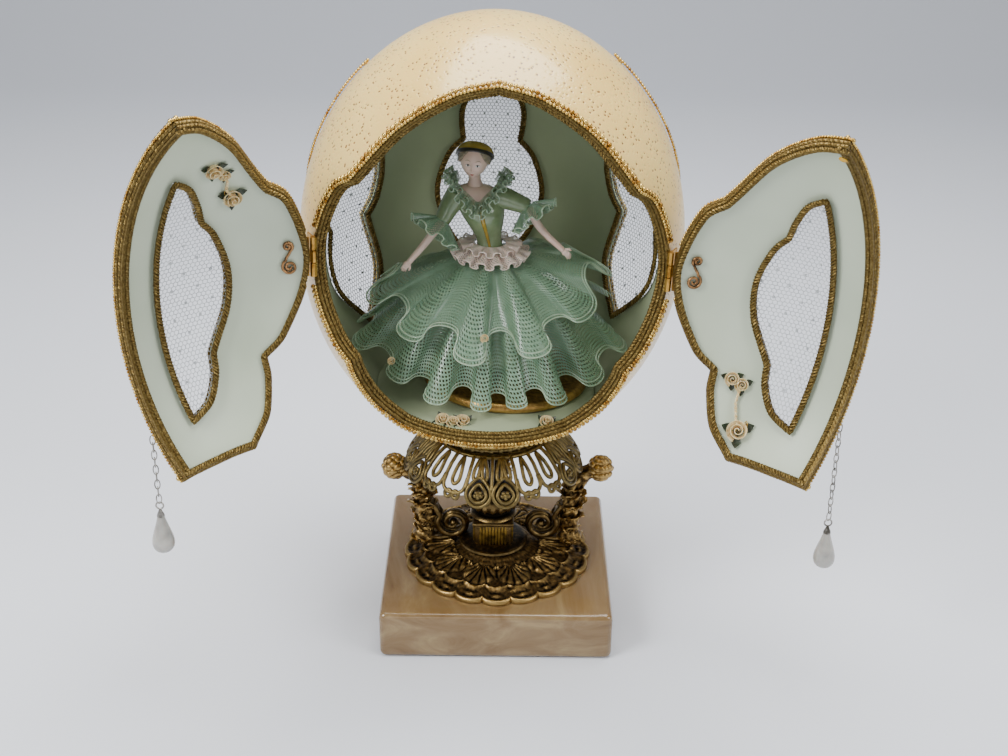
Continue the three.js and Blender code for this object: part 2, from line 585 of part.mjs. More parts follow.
function makeDoor(name, side) {
  const door = doorGroups[name];
  const frames = framed(doorOutline(side));
  const hole = doorWindow.map(([x, z]) => frontPoint([side * x, z]));
  const panel = wall.intersect(radialCut(shifted(frames, -CUT_GAP))).subtract(radialCut(hole));
  addPiece(door, "door_panel_" + name, geometryOf(panel), eggshell);

  const { near, far, high, deep, lap, lapHigh } = BRAID;
  const angle = [[-near, high], [-far, high], [-far, lapHigh], [-lap, lapHigh], [-lap, deep], [-near, deep]];
  addPiece(door, "door_braid_" + name, band(frames, angle), goldBraid);
  const byHinge = ({ p }) => Math.abs(p.x) > BEADLESS.beyond && p.z < BEADLESS.high && p.z > BEADLESS.low;
  const start = frames.findLastIndex(byHinge) + 1;
  const along = [...frames.slice(start), ...frames.slice(0, start)].filter((f) => !byHinge(f));
  addPiece(door, "door_beads_" + name, band(along, bead(-BEAD.inset), false), goldBead);

  const around = framed(hole);
  addPiece(door, "door_window_braid_" + name, band(around, innerBraid), goldBraid);
  addPiece(door, "door_window_beads_" + name, band(around, bead(WINDOW_BEAD.inset, WINDOW_BEAD.radius)), goldBead);
  addPiece(door, "door_net_" + name, net(shifted(around, NET.lap), flatRow, frontPoint), tulle);
  addPiece(door, "door_scroll_" + name, scrollGeometry(side), copper);
  addPiece(door, "door_roses_" + name, sprayGeometry(name, side), ribbon);
}

for (const [name, side] of Object.entries(sides)) {
  makeHinge(name, side);
  makeDoor(name, side);
}

// The links one after another, each as long as the pitch and turned a quarter from the one above it.
function chainGeometry(length) {
  const count = Math.round(length / CHAIN.pitch);
  const rings = [];
  const ring = (z, x, y) => rings.push([vec(x, 0, z), vec(0, y, z), vec(-x, 0, z), vec(0, -y, z)]);
  for (let i = 0; i < count * 2 + 1; i++) {
    const wide = i % 2 ? CHAIN.wide : CHAIN.thin;
    const edgeOn = i % 4 === 3;
    ring((-length * i) / (count * 2), edgeOn ? CHAIN.thin : wide, edgeOn ? wide : CHAIN.thin);
  }
  return loft(rings, false);
}

function makeDrop(name, side) {
  const { z, chain, top } = DROPS[name];
  const door = doorGroups[name];
  root.updateMatrixWorld(true);
  const p = frontPoint([side * CHAIN.x, z]);
  p.addScaledVector(shellNormal(p), CHAIN.stand).applyMatrix4(door.matrixWorld);
  const drop = new THREE.Group();
  drop.applyMatrix4(door.matrixWorld.clone().invert().multiply(new THREE.Matrix4().makeTranslation(p)));
  door.add(drop);
  addPiece(drop, "drop_chain_" + name, chainGeometry(chain), silver);
  const profile = PEARL_PROFILE.map(([r, h]) => [r * PEARL.radius, top + h * PEARL.length]);
  addPiece(drop, "drop_pearl_" + name, turned(profile, 10), pearl);
}
for (const [name, side] of Object.entries(sides)) makeDrop(name, side);

// Floor and lady

// A body through level ovals, each [x, y, z, half width, half depth]
function ovals(levels, sides) {
  return loft(
    levels.map(([x, y, z, rx, ry]) =>
      Array.from({ length: sides }, (_, i) => {
        const angle = (2 * Math.PI * i) / sides;
        return vec(x + rx * Math.cos(angle), y + ry * Math.sin(angle), z);
      }),
    ),
    false,
  );
}

function ball(x, y, z, radius, stretch = 1, around = 10, rows = 7) {
  const made = new THREE.SphereGeometry(radius, around, rows);
  return made.rotateX(Math.PI / 2).scale(1, 1, stretch).translate(x, y, z);
}

// Thickens a grid of points into a sheet, away from the side its normals face.
function cloth(grid, thickness, wrap, keep) {
  const rows = grid.length;
  const columns = grid[0].length;
  const column = (j) => (wrap ? (j + columns) % columns : Math.min(Math.max(j, 0), columns - 1));
  const back = grid.map((row, i) =>
    row.map((p, j) => {
      const down = grid[Math.min(i + 1, rows - 1)][j].clone().sub(grid[Math.max(i - 1, 0)][j]);
      const across = row[column(j + 1)].clone().sub(row[column(j - 1)]);
      return p.clone().addScaledVector(down.cross(across).normalize(), -thickness);
    }),
  );
  return sheet(grid, back, { wrap, keep });
}

// A frill round an axis. levels are [distance along the axis, radius], and the folds grow towards the free edge.
function frill(from, towards, levels, folds, depth) {
  const axis = towards.clone().sub(from).normalize();
  const u = (Math.abs(axis.z) > 0.7 ? vec(1, 0, 0) : vec(0, 0, 1)).cross(axis).normalize();
  const v = axis.clone().cross(u);
  const grid = levels.map(([along, radius], i) =>
    Array.from({ length: folds * 3 }, (_, j) => {
      const angle = (2 * Math.PI * j) / (folds * 3);
      const fold = (j % 3 === 0 ? 1 : -0.5) * depth * (i / (levels.length - 1));
      const r = radius + fold * 0.5;
      return from.clone().addScaledVector(axis, along + fold).addScaledVector(u, r * Math.cos(angle))
        .addScaledVector(v, r * Math.sin(angle));
    }),
  );
  return cloth(grid, LACE, true);
}

function tier({ waist, hem, open = false }) {
  const [x, y, z, start] = waist;
  const folds = open ? TIER.openFolds : TIER.folds;
  const columns = folds * 3 + (open ? 1 : 0);
  const span = open ? hem.at(-1)[0] - hem[0][0] : 360;
  const places = open ? hem : [...hem, [360, hem[0][1], hem[0][2]]];
  const hemAt = (angle) => {
    const k = Math.max(places.findIndex((h) => h[0] >= angle - 1e-6), 1);
    const [before, after] = [places[k - 1], places[k]];
    const t = (angle - before[0]) / (after[0] - before[0]);
    const eased = t * t * (3 - 2 * t);
    return [before[1] + (after[1] - before[1]) * eased, before[2] + (after[2] - before[2]) * eased];
  };
  const grid = Array.from({ length: TIER.rows + 1 }, (_, i) => {
    const u = i / TIER.rows;
    return Array.from({ length: columns }, (_, j) => {
      const angle = hem[0][0] + (span * j) / (open ? columns - 1 : columns);
      const [radius, low] = hemAt(angle);
      const fold = j % 3 === 0 ? -1 : TIER.fold;
      const r = start + (radius - start) * u + fold * u;
      const height = z + (low - z) * u ** TIER.flare - (i === TIER.rows ? fold * TIER.hemFold : 0);
      return vec(x + r * Math.sin(rad(angle)), y - r * Math.cos(rad(angle)), height);
    });
  });
  return cloth(grid, LACE, !open);
}

function makeLady() {
  const parts = [ovals(TORSO, 10), ball(...HEAD), ball(...HAIR)];
  for (const { line } of Object.values(ARMS)) {
    const at = (t) => ARM_RADII[Math.round(t * (ARM_RADII.length - 1))];
    parts.push(rod(line.map((p) => vec(...p)), at, 6));
    parts.push(ball(...line[0], SHOULDER, 1, 8, 4), ball(...line.at(-1), HAND, 1, 6, 4));
  }
  addPiece(egg, "figurine_body", joined(...parts), blush);

  const hollow = joined(...CAP_HOLLOW.map((b) => ball(...b)));
  addPiece(egg, "figurine_cap", geometryOf(solid(ovals(CAP, 12)).subtract(solid(hollow))), ribbon);
  for (const [name, shape, paint] of [["figurine_ruff", RUFF, lace], ["waist_ruffle", WAIST_RUFFLE, blush]])
    addPiece(egg, name, frill(vec(...shape.from), vec(...shape.towards), shape.levels, shape.folds, shape.depth), paint);
  for (const [name, { line }] of Object.entries(ARMS)) {
    const flounce = frill(vec(...line[2]), vec(...line[4]), SLEEVES[name], SLEEVE.folds, SLEEVE.depth);
    addPiece(egg, "sleeve_" + name, flounce, lace);
  }
  for (const [name, shape] of Object.entries(TIERS)) addPiece(egg, name, tier(shape), lace);
}

function makeFloor() {
  const rim = ovals(PLINTH.profile.map(([r, z]) => [0, 0, z, r, r]), 20);
  rim.scale(PLINTH.rx, PLINTH.ry, 1).translate(PLINTH.x, PLINTH.y, 0);
  addPiece(egg, "plinth", rim, gilt);
  const edges = [[FLOOR.bottom, FLOOR.bottomRadius], [FLOOR.top, FLOOR.topRadius]];
  addPiece(egg, "floor", ovals(edges.map(([z, r]) => [0, 0, z, r, r]), 24), sage);
  const rosette = ([x, y, r]) => ball(x, y, FLOOR.top + REST_GAP + r * ROSE_SQUASH, r, ROSE_SQUASH, 8, 5);
  addPiece(egg, "floor_roses_left", joined(...FLOOR_ROSES.left.map(rosette)), ribbon);
  addPiece(egg, "floor_rose_right", rosette(FLOOR_ROSES.right[0]), ribbon);
}
makeFloor();
makeLady();

// Stand

function makeStand() {
  const half = BASE.side / 2 - BASE.round;
  const corners = [[-half, -half], [half, -half], [half, half], [-half, half]];
  const square = new THREE.Shape(corners.map(([x, y]) => new THREE.Vector2(x, y)));
  const block = new THREE.ExtrudeGeometry(square, {
    depth: BASE.height - 2 * BASE.round,
    bevelThickness: BASE.round,
    bevelSize: BASE.round,
    bevelSegments: 3,
    curveSegments: 1,
  });
  block.translate(0, 0, BASE.round);
  addPiece(root, "marble_base", geometryOf(solid(block)), marble);

  const columns = FOOT.lobes * 3;
  const rings = FOOT_PROFILE.map(([r, z, lobed]) =>
    Array.from({ length: columns }, (_, j) => {
      const angle = (2 * Math.PI * j) / columns;
      const radius = j % 3 === 0 ? r - lobed * FOOT.scallop : r;
      return vec(FOOT.x + radius * Math.cos(angle), FOOT.y + radius * Math.sin(angle), z);
    }),
  );
  addPiece(root, "foot_plate", loft(rings, false), gilt);

  const [side, tall, middle] = URN.cube;
  const cube = new THREE.BoxGeometry(side, side, tall).translate(0, 0, middle);
  const made = joined(turned(URN_FOOT, URN.sides), cube, turned(URN_BODY, URN.sides));
  addPiece(root, "urn", made.translate(URN.x, 0, 0), darkBrass);
  makeColumns();
  makeCollar();
  const ringLine = Array.from({ length: 24 }, (_, i) => {
    const angle = (2 * Math.PI * i) / 24;
    return vec(SEAT.x + SEAT.radius * Math.cos(angle), SEAT.radius * Math.sin(angle), SEAT.z);
  });
  addPiece(root, "seat_ring", rod(ringLine, SEAT.bead, 5, true), gilt);
}

function makeColumns() {
  const curl = Array.from({ length: CURL.turns }, (_, i) => {
    const angle = rad(CURL.from + i * CURL.step);
    const r = CURL.radius - CURL.tighter * i;
    return vec(CURL.x - r * Math.cos(angle), 0, CURL.z + r * Math.sin(angle));
  });
  const [x, y, z, radius] = FINIAL;
  const made = joined(
    rod(SHAFT.map(([out, up]) => vec(out, 0, up)), (t) => SHAFT[Math.round(t * (SHAFT.length - 1))][2], 6),
    ball(x, y, z, radius, 1, 8, 6),
    rod(curl, CURL.wire, 4),
    rod(CURL_ARM.line.map(([out, up]) => vec(out, 0, up)), CURL_ARM.wire, 4),
  );
  for (const [name, angle, shift] of COLUMNS)
    addPiece(root, "column_" + name, made.clone().rotateZ(rad(angle)).translate(0, shift, 0), darkBrass);
}

function makeCollar() {
  const cells = COLLAR_CELLS[0].length;
  const columns = COLLAR.petals * cells;
  const grid = COLLAR_LINE.map(([r, z]) =>
    Array.from({ length: columns }, (_, j) => {
      const angle = (2 * Math.PI * j) / columns;
      return vec(COLLAR.x + r * Math.cos(angle), r * Math.sin(angle), z);
    }),
  );
  const keep = (i, j) => COLLAR_CELLS[i][j % cells] === "#";
  addPiece(root, "filigree_collar", cloth(grid, COLLAR.thick, true, keep), gilt);
}
makeStand();

export default root;
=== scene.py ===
"""Looks of an ostrich egg opened as a display case: netted doors, a porcelain lady in lace, a gilt stand.

Sizes in the classes are millimetres. Each piece is made in the frame of what carries it: the egg, one of
its doors or the stand. It is carried into the part's frame, in metres, once its mesh is final.
"""

from __future__ import annotations

import logging
import math
from dataclasses import dataclass, field
from enum import Enum
from typing import Callable, Iterable, Sequence

import bpy
import numpy as np
from mathutils import Matrix, Vector, noise

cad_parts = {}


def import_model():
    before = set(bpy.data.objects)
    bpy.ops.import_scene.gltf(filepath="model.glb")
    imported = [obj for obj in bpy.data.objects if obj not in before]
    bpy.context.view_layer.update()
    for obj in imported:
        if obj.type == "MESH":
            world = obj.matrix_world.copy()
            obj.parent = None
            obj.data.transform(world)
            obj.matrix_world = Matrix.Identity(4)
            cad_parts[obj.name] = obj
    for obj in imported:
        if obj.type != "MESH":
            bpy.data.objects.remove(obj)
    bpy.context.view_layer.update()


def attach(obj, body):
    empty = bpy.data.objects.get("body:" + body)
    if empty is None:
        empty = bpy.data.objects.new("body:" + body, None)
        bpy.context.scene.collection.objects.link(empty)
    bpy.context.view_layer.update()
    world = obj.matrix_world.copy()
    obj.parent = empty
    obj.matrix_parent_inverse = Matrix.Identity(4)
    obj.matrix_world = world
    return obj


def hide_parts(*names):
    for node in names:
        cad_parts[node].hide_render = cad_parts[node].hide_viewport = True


LOG = logging.getLogger("ostrich_egg")
MM = 0.001
TURN = 2 * math.pi
Flat = tuple[float, float]


def spline(
    a: Vector | np.ndarray, b: Vector | np.ndarray, c: Vector | np.ndarray, d: Vector | np.ndarray,
    t: float | np.ndarray
) -> Vector | np.ndarray:
    """The place between b and c on the smooth curve through four points.

    Args:
        a: the first point.
        b: the second point.
        c: the third point.
        d: the fourth point.
        t: the share of the way from b to c, or an array of shares.

    Returns:
        The point, or an array of points.
    """
    return 0.5 * (
        2 * b + (c - a) * t + (2 * a - 5 * b + 4 * c - d) * t ** 2 + (3 * b - a - 3 * c + d) * t ** 3
    )


def smooth_line(points: Sequence[Sequence[float]], count: int = 8) -> list[Vector]:
    """A smooth line through points.

    Args:
        points: the points that the line passes.
        count: steps between two points.

    Returns:
        The line's points.
    """
    made = []
    for i in range(len(points) - 1):
        a, b, c, d = (Vector(points[min(max(k, 0), len(points) - 1)]) for k in range(i - 1, i + 3))
        for t in np.linspace(0, 1, count, endpoint=i == len(points) - 2):
            made.append(spline(a, b, c, d, float(t)))
    return made


def linear(hex_colour: str) -> tuple[float, float, float, float]:
    """Turns an sRGB hex colour into linear red, green, blue and alpha 1.

    Args:
        hex_colour: the colour, as #RRGGBB.

    Returns:
        The linear red, green, blue and alpha.
    """
    channels = [int(hex_colour[i:i + 2], 16) / 255 for i in (1, 3, 5)]
    toned = [c / 12.92 if c <= 0.04045 else ((c + 0.055) / 1.055) ** 2.4 for c in channels]
    return (toned[0], toned[1], toned[2], 1.0)


def add_node(tree: bpy.types.NodeTree, kind: str, inputs: dict | None = None, **settings) -> bpy.types.Node:
    """Adds a node with its settings and links.

    Args:
        tree: the node tree.
        kind: the node's type, without its ShaderNode prefix.
        inputs: a value or an output socket for each named or numbered input.
        settings: the node's own properties.

    Returns:
        The new node.
    """
    made = tree.nodes.new("ShaderNode" + kind)
    for name, value in settings.items():
        setattr(made, name, value)
    for name, value in (inputs or {}).items():
        socket = made.inputs[name]
        if isinstance(value, bpy.types.NodeSocket):
            tree.links.new(value, socket)
        else:
            socket.default_value = value
    return made


def ramp(
    tree: bpy.types.NodeTree, value: bpy.types.NodeSocket, stops: Sequence[tuple[float, str]]
) -> bpy.types.Node:
    """Adds a colour ramp with hex colours at the given positions.

    Args:
        tree: the node tree.
        value: the socket that drives the ramp.
        stops: a position from 0 to 1 and a hex colour for each stop.

    Returns:
        The ramp's node.
    """
    made = add_node(tree, "ValToRGB", {"Fac": value})
    elements = made.color_ramp.elements
    while len(elements) < len(stops):
        elements.new(0.5)
    for element, (position, colour) in zip(elements, stops):
        element.position = position
        element.color = linear(colour)
    return made


@dataclass(frozen=True)
class Finish:
    """A surface as its maker made it, and what the eye sees of it.

    Each subclass adds its own pattern in paint().
    """

    name: str
    colour: str
    roughness: float
    metallic: float = 0.0

    def build(self) -> bpy.types.Material:
        """Makes the material, or hands back the one already made.

        Returns:
            The material.
        """
        known = bpy.data.materials.get(self.name)
        if known:
            return known
        made = bpy.data.materials.new(self.name)
        made.use_nodes = True
        tree = made.node_tree
        shader = tree.nodes["Principled BSDF"]
        shader.inputs["Base Color"].default_value = linear(self.colour)
        shader.inputs["Roughness"].default_value = self.roughness
        shader.inputs["Metallic"].default_value = self.metallic
        self.paint(tree, shader)
        return made

    def paint(self, tree: bpy.types.NodeTree, shader: bpy.types.Node) -> None:
        """Adds this finish's pattern to the tree.

        Args:
            tree: the node tree.
            shader: the principled shader that gets the pattern.
        """

    def noise(
        self, tree: bpy.types.NodeTree, size_mm: float, detail: float = 3.0, stretch: Flat = (1, 1)
    ) -> bpy.types.NodeSocket:
        """Noise in object coordinates whose patches are about size_mm wide.

        Args:
            tree: the material's node tree.
            size_mm: width of a patch.
            detail: octaves.
            stretch: how many times finer the pattern is along X and along Y than along Z.

        Returns:
            The noise's factor socket.
        """
        place = add_node(tree, "TexCoord")
        scaled = add_node(
            tree, "Mapping", {"Vector": place.outputs["Object"], "Scale": (stretch[0], stretch[1], 1)}
        )
        made = add_node(
            tree, "TexNoise", {"Vector": scaled.outputs[0], "Scale": 1 / (size_mm * MM), "Detail": detail}
        )
        return made.outputs["Fac"]

    def relief(
        self, tree: bpy.types.NodeTree, shader: bpy.types.Node, height: bpy.types.NodeSocket,
        depth_mm: float
    ) -> None:
        """Bumps the shader by a height that is depth_mm tall.

        Args:
            tree: the node tree.
            shader: the shader that gets the bump.
            height: the height's socket, 0 to 1.
            depth_mm: how tall the relief is, in millimetres.
        """
        bump = add_node(tree, "Bump", {"Height": height, "Strength": 0.6, "Distance": depth_mm * MM})
        tree.links.new(bump.outputs["Normal"], shader.inputs["Normal"])


@dataclass(frozen=True)
class Eggshell(Finish):
    """Ostrich eggshell, cleaned and polished: glossy cream, dented by pores that hold a little brown."""

    pore_mm: float = 1.7
    pore_colour: str = "#6B4420"

    def paint(self, tree: bpy.types.NodeTree, shader: bpy.types.Node) -> None:
        """Brown pores in shallow dents over a cream that clouds slowly.

        Args:
            tree: the node tree.
            shader: the principled shader that gets the pattern.
        """
        place = add_node(tree, "TexCoord")
        cells = add_node(
            tree, "TexVoronoi", {"Vector": place.outputs["Object"], "Scale": 1 / (self.pore_mm * MM)}
        )
        clouds = self.noise(tree, 40, 2)
        cream = ramp(tree, clouds, [(0.3, self.colour), (0.75, "#D3AE5C")])
        size = add_node(
            tree, "MapRange", {"Value": cells.outputs["Distance"], "From Min": 0.17, "From Max": 0.24}
        )
        mixed = add_node(tree, "MixRGB", {"Fac": size.outputs[0], "Color1": linear(self.pore_colour),
                                          "Color2": cream.outputs[0]})
        tree.links.new(mixed.outputs[0], shader.inputs["Base Color"])
        dent = add_node(
            tree, "MapRange", {"Value": cells.outputs["Distance"], "From Min": 0.02, "From Max": 0.5}
        )
        dent.interpolation_type = "SMOOTHSTEP"
        self.relief(tree, shader, dent.outputs[0], 0.25)
        shader.inputs["Subsurface Weight"].default_value = 0.08
        shader.inputs["Subsurface Scale"].default_value = 2 * MM
        shader.inputs["Coat Weight"].default_value = 0.35
        shader.inputs["Coat Roughness"].default_value = 0.12


@dataclass(frozen=True)
class SprayedLining(Finish):
    """Pale green enamel sprayed on the inside of the shell: even, soft gloss."""

    shade: str = "#B9C6B6"

    def paint(self, tree: bpy.types.NodeTree, shader: bpy.types.Node) -> None:
        """A faint cloudiness and the fine orange peel of sprayed paint.

        Args:
            tree: the node tree.
            shader: the principled shader that gets the pattern.
        """
        tone = ramp(tree, self.noise(tree, 30, 2), [(0.3, self.colour), (0.8, self.shade)])
        tree.links.new(tone.outputs[0], shader.inputs["Base Color"])
        self.relief(tree, shader, self.noise(tree, 0.8, 2), 0.02)


@dataclass(frozen=True)
class GoldThread(Finish):
    """Metallic gold thread laid as rope and braid, dulled by age, darker between the strands."""

    dark: str = "#573F18"

    def paint(self, tree: bpy.types.NodeTree, shader: bpy.types.Node) -> None:
        """Tarnish in patches, and the thread's fine ribs.

        Args:
            tree: the node tree.
            shader: the principled shader that gets the pattern.
        """
        tone = ramp(
            tree, self.noise(tree, 0.7, 3), [(0.3, self.dark), (0.52, self.colour), (0.75, "#8F7A48")]
        )
        tree.links.new(tone.outputs[0], shader.inputs["Base Color"])
        self.relief(tree, shader, self.noise(tree, 0.35, 2), 0.12)


@dataclass(frozen=True)
class PolishedMetal(Finish):
    """Small plated parts, polished, with a little wear in the plating."""

    worn: str = "#8A5E22"

    def paint(self, tree: bpy.types.NodeTree, shader: bpy.types.Node) -> None:
        """Worn patches in colour and gloss.

        Args:
            tree: the node tree.
            shader: the principled shader that gets the pattern.
        """
        patches = self.noise(tree, 3, 3)
        tone = ramp(tree, patches, [(0.35, self.worn), (0.55, self.colour)])
        tree.links.new(tone.outputs[0], shader.inputs["Base Color"])
        gloss = add_node(
            tree, "MapRange", {"Value": patches, "To Min": self.roughness + 0.15, "To Max": self.roughness}
        )
        tree.links.new(gloss.outputs[0], shader.inputs["Roughness"])


@dataclass(frozen=True)
class AgedCasting(Finish):
    """Cast brass, gilt and antiqued: raised parts rubbed to gold, hollows left near black."""

    hollow: str = "#15110B"
    rubbed: str = "#B8934E"
    balance: float = 0.5

    def paint(self, tree: bpy.types.NodeTree, shader: bpy.types.Node) -> None:
        """Rubbed gold by the surface's own edges, broken up by a fine tarnish.

        Args:
            tree: the node tree.
            shader: the principled shader that gets the pattern.
        """
        shape = add_node(tree, "NewGeometry")
        edges = add_node(
            tree, "MapRange", {"Value": shape.outputs["Pointiness"], "From Min": 0.44, "From Max": 0.56}
        )
        grime = add_node(tree, "Math", {0: self.noise(tree, 1.6, 4), 1: 0.9}, operation="MULTIPLY")
        sum_ = add_node(tree, "Math", {0: edges.outputs[0], 1: grime.outputs[0]}, operation="ADD")
        half = add_node(tree, "Math", {0: sum_.outputs[0], 1: 0.5}, operation="MULTIPLY")
        tone = ramp(tree, half.outputs[0], [(self.balance - 0.17, self.hollow), (self.balance, self.colour),
                                            (self.balance + 0.2, self.rubbed)])
        tree.links.new(tone.outputs[0], shader.inputs["Base Color"])
        gloss = add_node(tree, "MapRange", {"Value": half.outputs[0], "From Min": 0.3, "From Max": 0.7,
                                            "To Min": 0.6, "To Max": self.roughness})
        tree.links.new(gloss.outputs[0], shader.inputs["Roughness"])
        self.relief(tree, shader, self.noise(tree, 0.7, 3), 0.15)


@dataclass(frozen=True)
class VeinedMarble(Finish):
    """Cream onyx marble, sawn and polished: cloudy, with tan and brown streaks along its bed; every colour
    is darkened as painted shade.
    """

    def paint(self, tree: bpy.types.NodeTree, shader: bpy.types.Node) -> None:
        """Slanting bands of cream, tan and white, all darkened as painted shade, warped by slow noise.

        Args:
            tree: the node tree.
            shader: the principled shader that gets the pattern.
        """
        place = add_node(tree, "TexCoord")
        turned = add_node(tree, "Mapping", {"Vector": place.outputs["Object"], "Rotation": (0.35, 0.5, 0.9),
                                            "Scale": (1, 0.35, 2.2)})
        bands = add_node(
            tree, "TexNoise",
            {"Vector": turned.outputs[0], "Scale": 45, "Detail": 6, "Roughness": 0.6, "Distortion": 1.4}
        )
        # The ramp holds the veins' tones, darkened as a whole: painted shade for the shaded block.
        tone = ramp(tree, bands.outputs["Fac"], [(0.28, "#5A4226"), (0.4, "#745A36"), (0.52, self.colour),
                                                 (0.7, "#927C55")])
        tree.links.new(tone.outputs[0], shader.inputs["Base Color"])
        shader.inputs["Subsurface Weight"].default_value = 0.08
        shader.inputs["Subsurface Scale"].default_value = 2 * MM
        shader.inputs["Coat Weight"].default_value = 0.3
        shader.inputs["Coat Roughness"].default_value = 0.1


@dataclass(frozen=True)
class Porcelain(Finish):
    """Fired porcelain: glossy, slightly see-into, its colour pooled unevenly."""

    pooled: str = ""
    patch_mm: float = 6.0

    def paint(self, tree: bpy.types.NodeTree, shader: bpy.types.Node) -> None:
        """Glaze that pools from the base colour to the deeper one.

        Args:
            tree: the node tree.
            shader: the principled shader that gets the pattern.
        """
        tone = ramp(
            tree, self.noise(tree, self.patch_mm, 3),
            [(0.35, self.colour), (0.75, self.pooled or self.colour)]
        )
        tree.links.new(tone.outputs[0], shader.inputs["Base Color"])
        shader.inputs["Subsurface Weight"].default_value = 0.1
        shader.inputs["Subsurface Scale"].default_value = 1 * MM
        shader.inputs["Coat Weight"].default_value = 0.3


@dataclass(frozen=True)
class SilkYarn(Finish):
    """White cotton and silk yarn, matt, a little fuzzy."""

    def paint(self, tree: bpy.types.NodeTree, shader: bpy.types.Node) -> None:
        """Uneven whiteness along the yarn.

        Args:
            tree: the node tree.
            shader: the principled shader that gets the pattern.
        """
        tone = ramp(tree, self.noise(tree, 2, 2), [(0.3, "#A4A8AA"), (0.7, self.colour)])
        tree.links.new(tone.outputs[0], shader.inputs["Base Color"])
        shader.inputs["Sheen Weight"].default_value = 0.3


class Finishes(Enum):
    """Every finish on the object."""

    SHELL = Eggshell("polished_ostrich_eggshell", "#E3C476", 0.3)
    LINING = SprayedLining("sprayed_pale_green_door", "#BDC6B0", 0.42, shade="#AEB8A0")
    # Darker copy of the door lining for the shell's inside and the case floor: its colours are painted
    # shade for the inside of the case.
    SHADE_LINING = SprayedLining("sprayed_green_lining", "#A3AD8C", 0.5, shade="#969F80")
    BRAID = GoldThread("gold_thread_braid", "#6E5B2E", 0.46, 0.8)
    BEADS = PolishedMetal("gold_plated_beads", "#CDAE62", 0.2, 1.0)
    HINGE = PolishedMetal("pressed_brass_hinge", "#C2964A", 0.28, 1.0)
    SCROLL = PolishedMetal("coppered_scroll_wire", "#A07850", 0.3, 1.0, worn="#4A3524")
    CHAIN = PolishedMetal("steel_chain", "#A5A19A", 0.3, 1.0, worn="#5E5A52")
    CASTING = AgedCasting("antiqued_gilt_casting", "#66502F", 0.36, 1.0, rubbed="#A98B54")
    DARK_CASTING = AgedCasting(
        "blackened_brass_casting", "#33291A", 0.34, 1.0, rubbed="#7E6840", balance=0.57
    )
    FILIGREE = AgedCasting("aged_brass_filigree", "#3A3121", 0.4, 1.0, rubbed="#75653F", balance=0.54)
    # The marble's colours are painted darker as shade, over its own veining.
    MARBLE = VeinedMarble("polished_onyx_marble", "#7E6644", 0.18)
    TULLE = SilkYarn("cotton_tulle_yarn", "#C4C7C8", 0.9)
    LACE = Porcelain("mint_lace_porcelain", "#7A957A", 0.42, pooled="#5F7D61")
    HEM = Porcelain("pale_lace_hem_porcelain", "#9BAF94", 0.4, pooled="#869D80")
    BLUSH = Porcelain("blush_lace_porcelain", "#EBD9CC", 0.4, pooled="#D6BFB0")
    SKIN = Porcelain("bisque_skin_porcelain", "#D9BFAE", 0.38, pooled="#C9A797", patch_mm=9)
    BODICE = Porcelain("green_glazed_bodice", "#7E8E68", 0.14, pooled="#667854", patch_mm=4)
    HAIR = Porcelain("ash_painted_hair", "#8D8168", 0.4, pooled="#5F563F", patch_mm=1.2)
    CAP = Porcelain("gilded_cap_porcelain", "#A68A2E", 0.22, pooled="#7C6722")
    INK = Porcelain("black_china_paint", "#1C1712", 0.3)
    LIPS = Porcelain("rose_china_paint", "#A8503F", 0.35)
    ROSE = Porcelain("cream_ribbon_rose", "#E3D2A4", 0.75, pooled="#BC9C60", patch_mm=1.4)
    LEAF = Porcelain("dark_ribbon_leaf", "#2C3A22", 0.6, pooled="#151C10")
    PEARL = Porcelain("pearl_lacquer", "#AFABA2", 0.1, pooled="#8B8A86", patch_mm=5)
    PAINT_WHITE = Porcelain("white_china_paint", "#E8E4DC", 0.3)
    PLAQUE = PolishedMetal("gilt_pedestal_plaque", "#8E7234", 0.36, 1.0, worn="#4E3D1C")
    GLUE = Porcelain("dried_yellow_glue", "#C99A1E", 0.25)
    PLINTH = AgedCasting("bronzed_oval_foot", "#7E5A2C", 0.3, 0.8, hollow="#3A2712")
    FLOOR = Finish("studio_paper", "#D5D8DE", 0.9)


